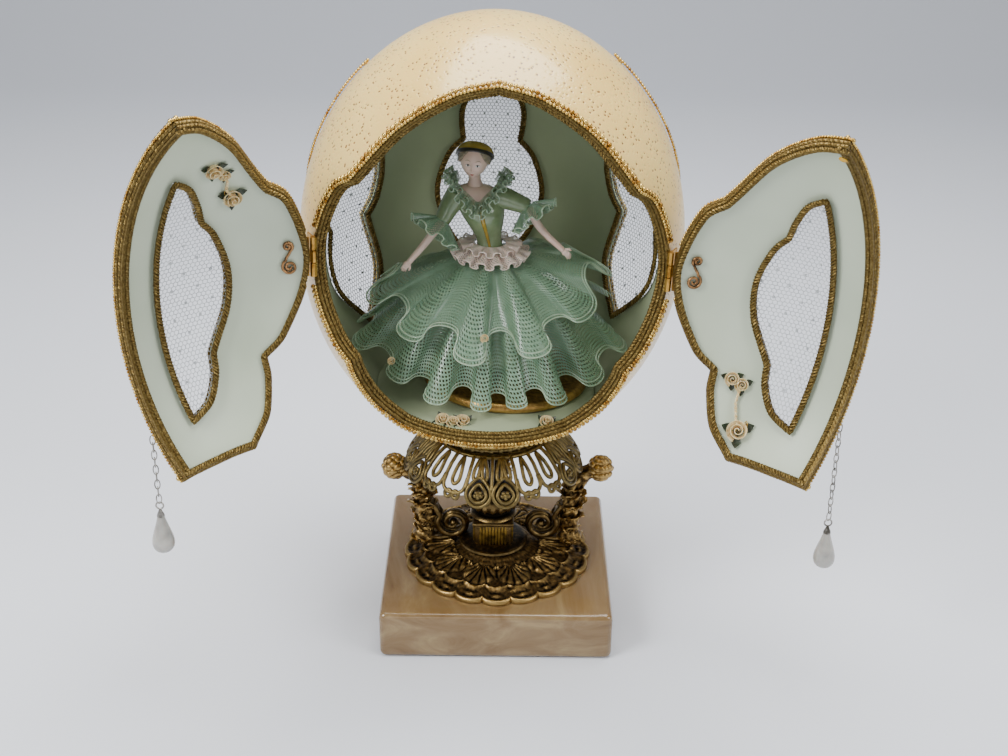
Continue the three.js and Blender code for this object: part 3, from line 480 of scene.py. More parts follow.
class Bench:
    """Where meshes are made, cut and finished."""

    @staticmethod
    def hold(obj: bpy.types.Object) -> bpy.types.Object:
        """Selects one object alone and makes it active.

        Args:
            obj: the object.

        Returns:
            The same object.
        """
        if bpy.context.mode != "OBJECT":
            bpy.ops.object.mode_set(mode="OBJECT")
        bpy.ops.object.select_all(action="DESELECT")
        obj.select_set(True)
        bpy.context.view_layer.objects.active = obj
        return obj

    @staticmethod
    def mesh(
        name: str, points: Iterable[Sequence[float]], faces: Iterable[Sequence[int]]
    ) -> bpy.types.Object:
        """Makes a mesh object from points and faces.

        Args:
            name: the new object's name.
            points: the mesh's points.
            faces: the numbers of each face's points.

        Returns:
            The new object.
        """
        data = bpy.data.meshes.new(name)
        data.from_pydata([tuple(p) for p in points], [], [tuple(f) for f in faces])
        data.update()
        made = bpy.data.objects.new(name, data)
        bpy.context.scene.collection.objects.link(made)
        return made

    @staticmethod
    def primitive(
        name: str, kind: str, stretch: Sequence[float] = (1, 1, 1), turn: Sequence[float] = (0, 0, 0),
        **sizes
    ) -> bpy.types.Object:
        """Adds one of Blender's primitives at its size, stretches and turns it, and applies that.

        Args:
            name: the object's name.
            kind: the primitive, such as uv_sphere.
            stretch: scale along X, Y and Z.
            turn: Euler angles in degrees.
            sizes: the primitive's own sizes, with location in millimetres.

        Returns:
            The object, with its place in its mesh.
        """
        bpy.ops.object.select_all(action="DESELECT")
        getattr(bpy.ops.mesh, f"primitive_{kind}_add")(**sizes)
        made = bpy.context.object
        made.name = name
        made.scale = stretch
        made.rotation_euler = [math.radians(a) for a in turn]
        bpy.ops.object.transform_apply(location=True, rotation=True, scale=True)
        return made

    @staticmethod
    def modify(obj: bpy.types.Object, kind: str, **settings) -> None:
        """Adds a modifier and applies it at once.

        Args:
            obj: the object.
            kind: the modifier's type.
            settings: the modifier's own properties.
        """
        Bench.hold(obj)
        made = obj.modifiers.new(kind.title(), kind)
        for name, value in settings.items():
            setattr(made, name, value)
        bpy.ops.object.modifier_apply(modifier=made.name)

    @staticmethod
    def join(name: str, pieces: Sequence[bpy.types.Object]) -> bpy.types.Object:
        """Joins pieces into one object, which keeps all their materials.

        Args:
            name: the joined object's name.
            pieces: the objects, whose first takes in the others.

        Returns:
            The joined object.
        """
        Bench.hold(pieces[0])
        for piece in pieces:
            piece.select_set(True)
        bpy.ops.object.join()
        pieces[0].name = name
        return pieces[0]

    @staticmethod
    def smooth(obj: bpy.types.Object, angle: float = 35) -> None:
        """Shades an object smooth up to an angle in degrees.

        Args:
            obj: the object.
            angle: the sharpest edge that is still shaded smooth, in degrees.
        """
        Bench.hold(obj)
        bpy.ops.object.shade_smooth_by_angle(angle=math.radians(angle))

    @staticmethod
    def outward(obj: bpy.types.Object, merge_mm: float = 0.001) -> None:
        """Merges doubles and turns every face outwards.

        Args:
            obj: the object.
            merge_mm: the distance within which points become one.
        """
        Bench.hold(obj)
        bpy.ops.object.mode_set(mode="EDIT")
        bpy.ops.mesh.select_all(action="SELECT")
        bpy.ops.mesh.remove_doubles(threshold=merge_mm)
        bpy.ops.mesh.normals_make_consistent(inside=False)
        bpy.ops.object.mode_set(mode="OBJECT")

    @staticmethod
    def dress(obj: bpy.types.Object, *finishes: Finishes) -> bpy.types.Object:
        """Gives an object its materials, in slot order.

        Args:
            obj: the object.
            finishes: the finish of each slot.

        Returns:
            The same object.
        """
        obj.data.materials.clear()
        for finish in finishes:
            obj.data.materials.append(finish.value.build())
        return obj

    @staticmethod
    def stamp(name: str, model: bpy.types.Object, places: Sequence[Matrix]) -> bpy.types.Object:
        """Copies a small model's mesh to each place as one mesh, and removes the model.

        Args:
            name: the new object's name.
            model: what is repeated.
            places: a matrix for each copy.

        Returns:
            The joined copies, with the model's materials.
        """
        count = len(model.data.vertices)
        base = np.empty(count * 3)
        model.data.vertices.foreach_get("co", base)
        base = np.column_stack([base.reshape(-1, 3), np.ones(count)])
        faces = [tuple(p.vertices) for p in model.data.polygons]
        indices = [p.material_index for p in model.data.polygons]
        points = np.concatenate([(base @ np.array(m).T)[:, :3] for m in places])
        made = Bench.mesh(
            name, points, [tuple(v + i * count for v in f) for i in range(len(places)) for f in faces]
        )
        for material in model.data.materials:
            made.data.materials.append(material)
        made.data.polygons.foreach_set("material_index", indices * len(places))
        bpy.data.objects.remove(model)
        return made

    @staticmethod
    def tubes(
        name: str, lines: Sequence[Sequence[Vector]], radius: float | Sequence[float], sides: int = 6,
        closed: bool = False, squash: float = 1.0
    ) -> bpy.types.Object:
        """Round tubes along lines of points, as one mesh.

        Args:
            name: the object's name.
            lines: each tube's centre line.
            radius: the tubes' radius, or one for each point of a line.
            sides: faces round a tube.
            closed: whether each line runs back into its start.
            squash: the tube's thickness across its first frame direction, as a share.

        Returns:
            The tubes, with rounded-off caps left flat.
        """
        points: list[Vector] = []
        faces: list[tuple[int, ...]] = []
        for line in lines:
            n = len(line)
            start = len(points)
            up = Vector((0.12, 0.31, 1)).normalized()
            for i, p in enumerate(line):
                ahead = line[(i + 1) % n] if closed or i < n - 1 else p
                behind = line[i - 1] if closed or i else p
                along = (ahead - behind).normalized()
                across = up.cross(along).normalized()
                up = along.cross(across)
                r = radius if isinstance(radius, (int, float)) else radius[i]
                for k in range(sides):
                    angle = TURN * k / sides
                    points.append(p + across * (r * squash * math.cos(angle)) + up * (r * math.sin(angle)))
            for i in range(n if closed else n - 1):
                for k in range(sides):
                    a, b = start + i * sides + k, start + i * sides + (k + 1) % sides
                    c, d = start + ((i + 1) % n) * sides + k, start + (
                        (i + 1) % n
                    ) * sides + (k + 1) % sides
                    faces.append((a, b, d, c))
            if not closed:
                faces.append(tuple(start + k for k in reversed(range(sides))))
                faces.append(tuple(start + (n - 1) * sides + k for k in range(sides)))
        return Bench.mesh(name, points, faces)

    @staticmethod
    def lathe(
        name: str, profile: Sequence[Flat], steps: int = 48, centre: Flat = (0, 0)
    ) -> bpy.types.Object:
        """Spins a profile of radius and height round a vertical axis.

        Args:
            name: the object's name.
            profile: radius and height of each point, from one end of the axis to the other.
            steps: faces round.
            centre: where the axis stands.

        Returns:
            The turned piece, closed and facing out.
        """
        made = Bench.mesh(name, [(centre[0] + r, centre[1], z) for r, z in profile], [])
        made.data.edges.add(len(profile) - 1)
        for i, edge in enumerate(made.data.edges):
            edge.vertices = (i, i + 1)
        Bench.hold(made)
        bpy.ops.object.mode_set(mode="EDIT")
        bpy.ops.mesh.select_all(action="SELECT")
        bpy.ops.mesh.spin(steps=steps, angle=TURN, center=(centre[0], centre[1], 0), axis=(0, 0, 1))
        bpy.ops.object.mode_set(mode="OBJECT")
        Bench.outward(made, 0.002)
        Bench.smooth(made, 40)
        return made

    @staticmethod
    def place(
        obj: bpy.types.Object, matrix: Matrix, body: str, slot: str, nodes: Sequence[str]
    ) -> bpy.types.Object:
        """Carries a finished piece into the part's frame and lets it stand for its nodes.

        Args:
            obj: the piece, in millimetres, in the frame of what carries it.
            matrix: that frame, with the millimetre scale.
            body: the body it rides on.
            slot: the record's material slot; not used.
            nodes: the nodes that it replaces.

        Returns:
            The piece.
        """
        obj.data.transform(matrix)
        obj.data.update()
        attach(obj, body)
        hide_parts(*nodes)
        LOG.info("%s: %d faces", obj.name, len(obj.data.polygons))
        return obj
OPENING_LOBES = [
    [(0, 64), (14, 60.6), (31, 49.8), (46.2, 32)],
    [(46.2, 32), (51.5, 27.4), (56.4, 16), (58.8, 3), (56.8, -11), (51, -24.6), (45.2, -31)],
    [(45.2, -31), (43.6, -38), (38, -48.6), (28.5, -57.3)],
    [(28.5, -57.3), (14, -58.7), (0, -58.8)],
]
DOOR_WINDOW_LOBES = [
    [(16.2, 38.6), (22, 35), (26.6, 28), (29.4, 21)],
    [(29.4, 21), (34.6, 14.6), (38.8, 2), (37.4, -12), (30, -26.3)],
    [(30, -26.3), (28.2, -33.6), (23, -41), (15, -44.8)],
    [(15, -44.8), (14.8, -20), (15.2, 10), (16.2, 38.6)],
]
SIDE_WINDOW_LOBES = [
    [(105.5, 59), (98.5, 52), (95, 42), (97, 27), (103, 8), (110, -8)],
    [(110, -8), (105.8, -19), (106.5, -31), (118, -45.5)],
    [(118, -45.5), (127.5, -38), (133, -27), (130.5, -8)],
    [(130.5, -8), (135.5, -1), (137.3, 11), (134, 27), (125, 41)],
    [(125, 41), (120.5, 50), (105.5, 59)],
]
BACK_WINDOW_LOBES = [
    [(0, 44), (7, 39.5), (10.8, 29), (9.6, 15.5)],
    [(9.6, 15.5), (14.8, 8.5), (18.3, -6), (15.4, -20), (11, -28)],
    [(11, -28), (9, -36), (0, -42)],
]


class Side(Enum):
    """Left or right, as seen from the front, with its sign along X."""

    LEFT = -1
    RIGHT = 1

    @property
    def label(self) -> str:
        """The side's name in node names.

        Returns:
            left or right.
        """
        return self.name.lower()


@dataclass(frozen=True)
class EggShape:
    """The shell's outer face, a turned ellipsoid, and where it stands."""

    half_height: float = 78.5
    half_width: float = 67.7
    wall: float = 2.2
    centre: tuple[float, float, float] = (-2.5, 0, 152.9)
    lean: float = 2
    hinge: Flat = (59.46, -33.76)
    door_turn: tuple[float, float] = (-117.75, 131.74)

    def frame(self) -> Matrix:
        """The matrix from the egg's millimetre frame to the part's frame in metres.

        Returns:
            The matrix.
        """
        return Matrix.Scale(MM, 4) @ Matrix.Translation(self.centre) @ Matrix.Rotation(
            math.radians(self.lean), 4, "Y"
        )

    def door(self, side: Side) -> Matrix:
        """The matrix from a door's frame, where it is closed, to where it stands open.

        Args:
            side: which door.

        Returns:
            The matrix.
        """
        pivot = Vector((side.value * self.hinge[0], self.hinge[1], 0))
        turn = self.door_turn[0 if side is Side.LEFT else 1]
        turned = Matrix.Rotation(math.radians(turn), 4, "Z")
        return self.frame() @ Matrix.Translation(pivot) @ turned @ Matrix.Translation(-pivot)

    def front(self, x: float, z: float) -> Vector:
        """The point of the shell's front at x and z.

        Args:
            x: the place across, from the egg's axis.
            z: the height, from the egg's middle.

        Returns:
            The point on the outer face.
        """
        share = 1 - (x / self.half_width) ** 2 - (z / self.half_height) ** 2
        return Vector((x, -self.half_width * math.sqrt(share), z))

    def round(self, azimuth: float, z: float) -> Vector:
        """The point of the shell at degrees round from the front and at height z.

        Args:
            azimuth: degrees round from the front, to the right.
            z: the height, from the egg's middle.

        Returns:
            The point on the outer face.
        """
        r = self.half_width * math.sqrt(1 - (z / self.half_height) ** 2)
        return Vector((r * math.sin(math.radians(azimuth)), -r * math.cos(math.radians(azimuth)), z))

    def normal(self, p: Vector) -> Vector:
        """The outward direction at a point of the shell.

        Args:
            p: the point.

        Returns:
            The direction, of length 1.
        """
        return Vector(
            (p.x / self.half_width ** 2, p.y / self.half_width ** 2, p.z / self.half_height ** 2)
        ).normalized()

    def onto(self, p: Vector, out: float = 0) -> Vector:
        """A point moved onto the shell's outer face, and then out of it.

        Args:
            p: any point but the egg's middle.
            out: how far above the outer face.

        Returns:
            The moved point.
        """
        size = math.hypot(p.x / self.half_width, p.y / self.half_width, p.z / self.half_height)
        landed = p / size
        return landed + self.normal(landed) * out

    def inner(self, side: Side, azimuth: float, z: float, depth: float) -> Vector:
        """A point on a closed door's inner side, depth below the shell's outer face.

        Args:
            side: which door.
            azimuth: degrees from the front towards that door.
            z: the height, from the egg's middle.
            depth: how far below the outer face.

        Returns:
            The point.
        """
        p = self.round(side.value * azimuth, z)
        return p - self.normal(p) * depth


EGG = EggShape()


@dataclass
class Trace:
    """One place on an outline: the point, the way out of the shell and the way out of the outline."""

    p: Vector
    normal: Vector
    side: Vector

    def at(self, across: float, high: float) -> Vector:
        """The point across out of the outline and high above the shell.

        Args:
            across: distance out of the outline.
            high: height above the shell.

        Returns:
            The point.
        """
        landed = EGG.onto(self.p + self.side * across)
        return landed + self.normal * high


class Outline:
    """A line on the shell, closed or open, sampled evenly and with its corners kept."""

    def __init__(self, points: Sequence[Vector], closed: bool = True) -> None:
        """Takes the line's points, on the shell.

        Args:
            points: the line's points, in order.
            closed: whether the last point joins the first.
        """
        self.closed = closed
        self.traces = self._framed(points)

    @classmethod
    def from_lobes(
        cls, lobes: Sequence[Sequence[Flat]], place: Callable[[float, float], Vector], step: float = 0.8,
        more: Sequence[Flat] = ()
    ) -> Outline:
        """Makes a closed outline from lobes.

        Args:
            lobes: lists of points, each list one smooth lobe.
            place: turns a flat point into one on the shell.
            step: distance between samples.
            more: further flat points that close the outline.

        Returns:
            The outline.
        """
        flat = cls.sample(lobes, step) + list(more)
        return cls([place(*p) for p in flat])

    @staticmethod
    def sample(lobes: Sequence[Sequence[Flat]], step: float = 0.8) -> list[Flat]:
        """Samples lobes evenly along smooth curves, each up to but without its last point.

        Args:
            lobes: lists of flat points, each list one smooth lobe.
            step: distance between samples.

        Returns:
            The samples.
        """
        made: list[Flat] = []
        for lobe in lobes:
            dense: list[Flat] = []
            for i in range(len(lobe) - 1):
                a, b, c, d = (
                    np.array(lobe[min(max(k, 0), len(lobe) - 1)], float) for k in range(i - 1, i + 3)
                )
                for t in np.linspace(0, 1, 24, endpoint=False):
                    p = spline(a, b, c, d, t)
                    dense.append((float(p[0]), float(p[1])))
            dense.append(lobe[-1])
            run = np.concatenate([[0], np.cumsum([math.dist(p, q) for p, q in zip(dense, dense[1:])])])
            count = max(3, round(run[-1] / step))
            for s in np.linspace(0, run[-1], count, endpoint=False):
                made.append(
                    (
                        float(np.interp(s, run, [p[0] for p in dense])),
                        float(np.interp(s, run, [p[1] for p in dense]))
                    )
                )
        return made

    def _framed(self, points: Sequence[Vector]) -> list[Trace]:
        """Finds the shell's normal and the outline's outward side at each point.

        Args:
            points: the line's points, in order.

        Returns:
            A trace for each point.
        """
        n = len(points)
        middle = sum(points, Vector()) / n
        steps = [(points[(i + 1) % n] - p).normalized() for i, p in enumerate(points)]
        made = []
        for i, p in enumerate(points):
            normal = EGG.normal(p)
            before = steps[i - 1] if self.closed or i else steps[i]
            after = steps[i] if self.closed or i < n - 1 else steps[i - 1]
            side = (before.cross(normal).normalized() + after.cross(normal).normalized()).normalized()
            stretch = min(1 / max(side.dot(after.cross(normal).normalized()), 0.1), 1.7)
            made.append(Trace(p, normal, side * stretch))
        if sum(t.side.dot(t.p - middle) for t in made) < 0:
            for trace in made:
                trace.side = -trace.side
        return made

    def cut(self, wanted: Callable[[Vector], bool]) -> list[Outline]:
        """Splits the outline into the open runs whose points are wanted.

        Args:
            wanted: tells whether a point stays.

        Returns:
            The runs of more than two points.
        """
        flags = [wanted(t.p) for t in self.traces]
        first = next(i for i, f in enumerate(flags) if f and not flags[i - 1])
        runs: list[list[Trace]] = [[]]
        for k in range(len(flags)):
            i = (first + k) % len(flags)
            if flags[i]:
                runs[-1].append(self.traces[i])
            elif runs[-1]:
                runs.append([])
        made = []
        for run in runs:
            if len(run) > 2:
                piece = Outline.__new__(Outline)
                piece.closed = False
                piece.traces = run
                made.append(piece)
        return made

    def line(self, across: float, high: float, pitch: float) -> tuple[list[Trace], list[Vector]]:
        """Walks beside the outline in equal steps.

        Args:
            across: distance out of the outline.
            high: height above the shell.
            pitch: the wanted step, rounded so that whole steps fit.

        Returns:
            A trace for each step, whose point is the step itself, and the points alone.
        """
        traces = self.traces + [self.traces[0]] if self.closed else self.traces
        spots = [t.at(across, high) for t in traces]
        run = np.concatenate([[0], np.cumsum([(q - p).length for p, q in zip(spots, spots[1:])])])
        count = max(4, round(run[-1] / pitch))
        made = []
        for s in np.linspace(0, run[-1], count, endpoint=not self.closed):
            i = min(int(np.searchsorted(run, s, side="right")) - 1, len(spots) - 2)
            t = (s - run[i]) / max(run[i + 1] - run[i], 1e-9)
            p = spots[i].lerp(spots[i + 1], t)
            side = traces[i].side.lerp(traces[i + 1].side, t).normalized()
            made.append(Trace(p, EGG.normal(p), side))
        return made, [t.p for t in made]

    def moved(self, across: float) -> list[Vector]:
        """The outline's points moved across, on the shell.

        Args:
            across: distance out of the outline.

        Returns:
            The moved points.
        """
        return [t.at(across, 0) for t in self.traces]


def cone_through(points: Sequence[Vector]) -> bpy.types.Object:
    """Makes the closed cone from the egg's middle through a line of points and out past the shell.

    Args:
        points: the line's points, on the shell.

    Returns:
        The cone, for sawing.
    """
    far = [p * 3 for p in points]
    n = len(far)
    middle = sum(far, Vector()) / n
    made = Bench.mesh("cutter", [*far, Vector(), middle * 1.15],
                      [((i + 1) % n, i, n) for i in range(n)] + [(i, (i + 1) % n, n + 1) for i in range(n)])
    Bench.outward(made)
    return made


def sampled_openings() -> tuple[Outline, dict[str, Outline]]:
    """The door opening's outline and those of the shell's three windows.

    Returns:
        The opening, and the windows by name: left, right and back.
    """
    half = Outline.sample(OPENING_LOBES)
    bottom = OPENING_LOBES[-1][-1]
    opening = Outline(
        [EGG.front(x, z) for x, z in [*half, bottom, *[(-x, z) for x, z in reversed(half[1:])]]]
    )
    back = Outline.sample(BACK_WINDOW_LOBES)
    tip = BACK_WINDOW_LOBES[-1][-1]
    windows = {
        "left": Outline.from_lobes(SIDE_WINDOW_LOBES, lambda a, z: EGG.round(-a, z - 3)),
        "right": Outline.from_lobes(SIDE_WINDOW_LOBES, lambda a, z: EGG.round(a, z + 3)),
        "back": Outline(
            [EGG.round(181.5 + a, z) for a, z in [*back, tip, *[(-a, z) for a, z in reversed(back[1:])]]]
        ),
    }
    return opening, windows


@dataclass
class Trims:
    """Bead chains, twisted gimp and ribbon laid along outlines."""

    bead: float = 0.84
    bead_pitch: float = 1.75
    small_bead: float = 0.56
    strand: float = 0.46
    twist: float = 2.6

    def beads(
        self, name: str, outlines: Sequence[Outline], across: float, radius: float
    ) -> bpy.types.Object:
        """A chain of beads beside outlines, resting just clear of the shell.

        Args:
            name: the new object's name.
            outlines: the outlines that the chain follows.
            across: distance out of the outline.
            radius: a bead's radius.

        Returns:
            The chain.
        """
        places = []
        for outline in outlines:
            _, points = outline.line(across, 0.3 + radius, self.bead_pitch * radius / self.bead)
            places += [Matrix.Translation(p) for p in points]
        model = Bench.primitive("bead", "uv_sphere", segments=10, ring_count=7, radius=radius)
        Bench.dress(model, Finishes.BEADS)
        made = Bench.stamp("beads", model, places)
        pieces = [made]
        for outline in outlines:
            _, points = outline.line(across, 0.3 + radius * 0.8, 0.9)
            pieces.append(
                Bench.dress(
                    Bench.tubes("thread", [points], radius * 0.35, 5, outline.closed), Finishes.BEADS
                )
            )
        made = Bench.join(name, pieces)
        Bench.smooth(made, 180)
        return made

    def double_beads(
        self, name: str, outlines: Sequence[Outline], outer: float, inner: float
    ) -> bpy.types.Object:
        """Two chains side by side: large beads on the shell and small ones on the braid's edge.

        Args:
            name: the new object's name.
            outlines: the outlines that the chains follow.
            outer: the large chain's distance out of the outline.
            inner: the small chain's distance.

        Returns:
            Both chains as one object.
        """
        rows = [
            self.beads(name, outlines, outer, self.bead), self.beads(name, outlines, inner, self.small_bead)
        ]
        return Bench.join(name, rows)

    def gimp(
        self, name: str, outline: Outline, across: float, high: float, wide: float, tall: float,
        strands: int = 3
    ) -> bpy.types.Object:
        """A twisted cord of gold thread.

        Args:
            name: the piece's name.
            outline: the line that it follows.
            across: its middle, out of the outline.
            high: its middle, above the shell.
            wide: half its width along the shell, strands included.
            tall: half its height, strands included.
            strands: how many strands are twisted together.

        Returns:
            The cord.
        """
        traces, _ = outline.line(across, high, self.twist * wide / 9)
        length = sum((a.p - b.p).length for a, b in zip(traces, traces[1:]))
        turns = round(length / (self.twist * wide))
        strand = min(self.strand, 0.52 * min(wide, tall))
        lines = []
        for k in range(strands):
            line = []
            for i, t in enumerate(traces):
                angle = TURN * (turns * i / len(traces) + k / strands)
                line.append(
                    t.p
                    + t.side * ((wide - strand) * math.cos(angle))
                    + t.normal * ((tall - strand) * math.sin(angle))
                )
            lines.append(line)
        made = Bench.tubes(name, lines, strand, 5, closed=outline.closed)
        Bench.dress(made, Finishes.BRAID)
        Bench.smooth(made, 70)
        return made

    def ribbon(
        self, name: str, outline: Outline, near: float, far: float, high: float, thick: float
    ) -> bpy.types.Object:
        """A woven ribbon along an outline, with a chevron weave in relief.

        Args:
            name: the piece's name.
            outline: the line that it follows.
            near: where its first edge lies across the outline.
            far: where its other edge lies.
            high: height of its outer face.
            thick: how thick it is.

        Returns:
            The ribbon.
        """
        traces, _ = outline.line((near + far) / 2, high, 0.45)
        columns = max(5, int(abs(far - near) / 0.42))
        points: list[Vector] = []
        for i, t in enumerate(traces):
            for k in range(columns + 1):
                share = k / columns
                lift = 0.16 * math.sin(TURN * (i * 0.45 / 1.5 + abs(share - 0.5) * 2.6)) * min(
                    1, 6 * share, 6 * (1 - share)
                )
                points.append(
                    t.p
                    + t.side * ((share - 0.5) * (far - near))
                    - t.normal * (0.16 - lift) * (1 if high < -1 else -1)
                )
            points.append(t.p + t.side * (0.5 * (far - near)) + t.normal * thick)
            points.append(t.p - t.side * (0.5 * (far - near)) + t.normal * thick)
        row = columns + 3
        count = len(traces)
        faces = []
        for i in range(count if outline.closed else count - 1):
            for k in range(row):
                a, b = i * row + k, i * row + (k + 1) % row
                c, d = ((i + 1) % count) * row + k, ((i + 1) % count) * row + (k + 1) % row
                faces.append((a, b, d, c))
        if not outline.closed:
            faces += [tuple(range(row))[::-1], tuple((count - 1) * row + k for k in range(row))]
        made = Bench.mesh(name, points, faces)
        Bench.outward(made)
        Bench.dress(made, Finishes.BRAID)
        Bench.smooth(made, 60)
        return made


TRIMS = Trims()


@dataclass
class Tulle:
    """Hexagonal net with woven dots, stretched behind a window and glued under its braid."""

    outline: Outline
    middle: float
    mesh: float = 1.6
    strand: float = 0.15
    dot: float = 0.6
    dot_step: float = 9.4
    depth: float = 2.7
    lap: float = 0.8
    squeeze: float = 0.95

    def flat(self, p: Vector) -> Flat:
        """Unrolls a point of the shell about the window's middle azimuth.

        Args:
            p: a point of the shell.

        Returns:
            The distance round from the middle azimuth, and the height.
        """
        azimuth = (math.degrees(math.atan2(p.x, -p.y)) - self.middle + 540) % 360 - 180
        return (math.radians(azimuth) * EGG.half_width * self.squeeze, p.z)

    def rolled(self, s: float, z: float) -> Vector:
        """Rolls an unrolled point back onto the shell, at the net's depth.

        Args:
            s: the distance round from the middle azimuth.
            z: the height.

        Returns:
            The point on the net.
        """
        p = EGG.round(self.middle + math.degrees(s / (EGG.half_width * self.squeeze)), z)
        return p - EGG.normal(p) * self.depth

    def inside(self, s: float, z: float, border: Sequence[Flat]) -> bool:
        """Whether an unrolled point lies within the border.

        Args:
            s: the distance round from the middle azimuth.
            z: the height.
            border: the border's unrolled points.

        Returns:
            True within the border.
        """
        hit = False
        for (x0, y0), (x1, y1) in zip(border, [*border[1:], border[0]]):
            if (y0 > z) != (y1 > z) and s < (x1 - x0) * (z - y0) / (y1 - y0) + x0:
                hit = not hit
        return hit

    def build(self, name: str) -> tuple[bpy.types.Object, float, Flat]:
        """Weaves the net.

        Args:
            name: the piece's name.

        Returns:
            The net, the area that it spans and its flat width and height, in metres.
        """
        border = [self.flat(p) for p in self.outline.moved(self.lap)]
        low = [min(p[k] for p in border) for k in (0, 1)]
        high = [max(p[k] for p in border) for k in (0, 1)]
        side = self.mesh / math.sqrt(3)
        known: dict[tuple[int, int], bool] = {}
        points: list[Vector] = []
        faces: list[tuple[int, ...]] = []

        def add_strand(a: Flat, b: Flat) -> None:
            """Adds a three-sided strand between two unrolled points inside the border.

            Args:
                a: the strand's first end.
                b: its other end.
            """
            for q in (a, b):
                key = (round(q[0] * 50), round(q[1] * 50))
                if key not in known:
                    known[key] = self.inside(*q, border)
                if not known[key]:
                    return
            ends = [self.rolled(*a), self.rolled(*b)]
            along = (ends[1] - ends[0]).normalized()
            normal = EGG.normal(ends[0])
            across = along.cross(normal)
            start = len(points)
            for end in ends:
                for k in range(3):
                    angle = TURN * k / 3
                    points.append(end + (normal * math.cos(angle) + across * math.sin(angle)) * self.strand)
            faces.extend(
                (start + k, start + (k + 1) % 3, start + 3 + (k + 1) % 3, start + 3 + k) for k in range(3)
            )

        rows = int((high[1] - low[1]) / (1.5 * side)) + 2
        columns = int((high[0] - low[0]) / self.mesh) + 2
        for r in range(rows):
            for c in range(columns):
                s = low[0] + (c + 0.5 * (r % 2)) * self.mesh
                z = low[1] + r * 1.5 * side
                top, upper = (s, z + side), (s + self.mesh / 2, z + side / 2)
                lower, upper_left = (s + self.mesh / 2, z - side / 2), (s - self.mesh / 2, z + side / 2)
                add_strand(top, upper)
                add_strand(upper, lower)
                add_strand(top, upper_left)
        self._add_dots(points, faces, low, high, border)
        made = Bench.mesh(name, points, faces)
        Bench.dress(made, Finishes.TULLE)
        Bench.smooth(made, 70)
        pairs = list(zip(border, [*border[1:], border[0]]))
        area = abs(sum(p[0] * q[1] - q[0] * p[1] for p, q in pairs)) / 2
        return made, area * MM * MM, ((high[0] - low[0]) * MM, (high[1] - low[1]) * MM)

    def _add_dots(
        self, points: list[Vector], faces: list[tuple[int, ...]], low: Sequence[float],
        high: Sequence[float], border: Sequence[Flat]
    ) -> None:
        """Adds the woven dots, small flattened knots in staggered rows.

        Args:
            points: the net's points, which this adds to.
            faces: the net's faces, which this adds to.
            low: the border's least distance round and height.
            high: the border's greatest.
            border: the border's unrolled points.
        """
        rows = int((high[1] - low[1]) / (self.dot_step * 0.55)) + 1
        columns = int((high[0] - low[0]) / self.dot_step) + 2
        for r in range(rows):
            for c in range(columns):
                s = low[0] + (c + 0.5 * (r % 2) + 0.12) * self.dot_step
                z = low[1] + (r + 0.4) * self.dot_step * 0.55
                if not self.inside(s, z, border):
                    continue
                centre = self.rolled(s, z)
                normal = EGG.normal(centre)
                across = Vector((0, 0, 1)).cross(normal).normalized()
                up = normal.cross(across)
                start = len(points)
                for level, size in ((-0.2, 0.5), (-0.12, 1), (0.12, 1), (0.2, 0.5)):
                    for k in range(8):
                        r_k = self.dot * size * (1 if k % 2 else 0.72)
                        angle = TURN * k / 8
                        points.append(
                            centre
                            + normal * level
                            + across * (r_k * math.cos(angle))
                            + up * (r_k * math.sin(angle))
                        )
                for ring in range(3):
                    for k in range(8):
                        a, b = start + ring * 8 + k, start + ring * 8 + (k + 1) % 8
                        faces.append((a, b, b + 8, a + 8))
                faces.append(tuple(start + k for k in reversed(range(8))))
                faces.append(tuple(start + 24 + k for k in range(8)))


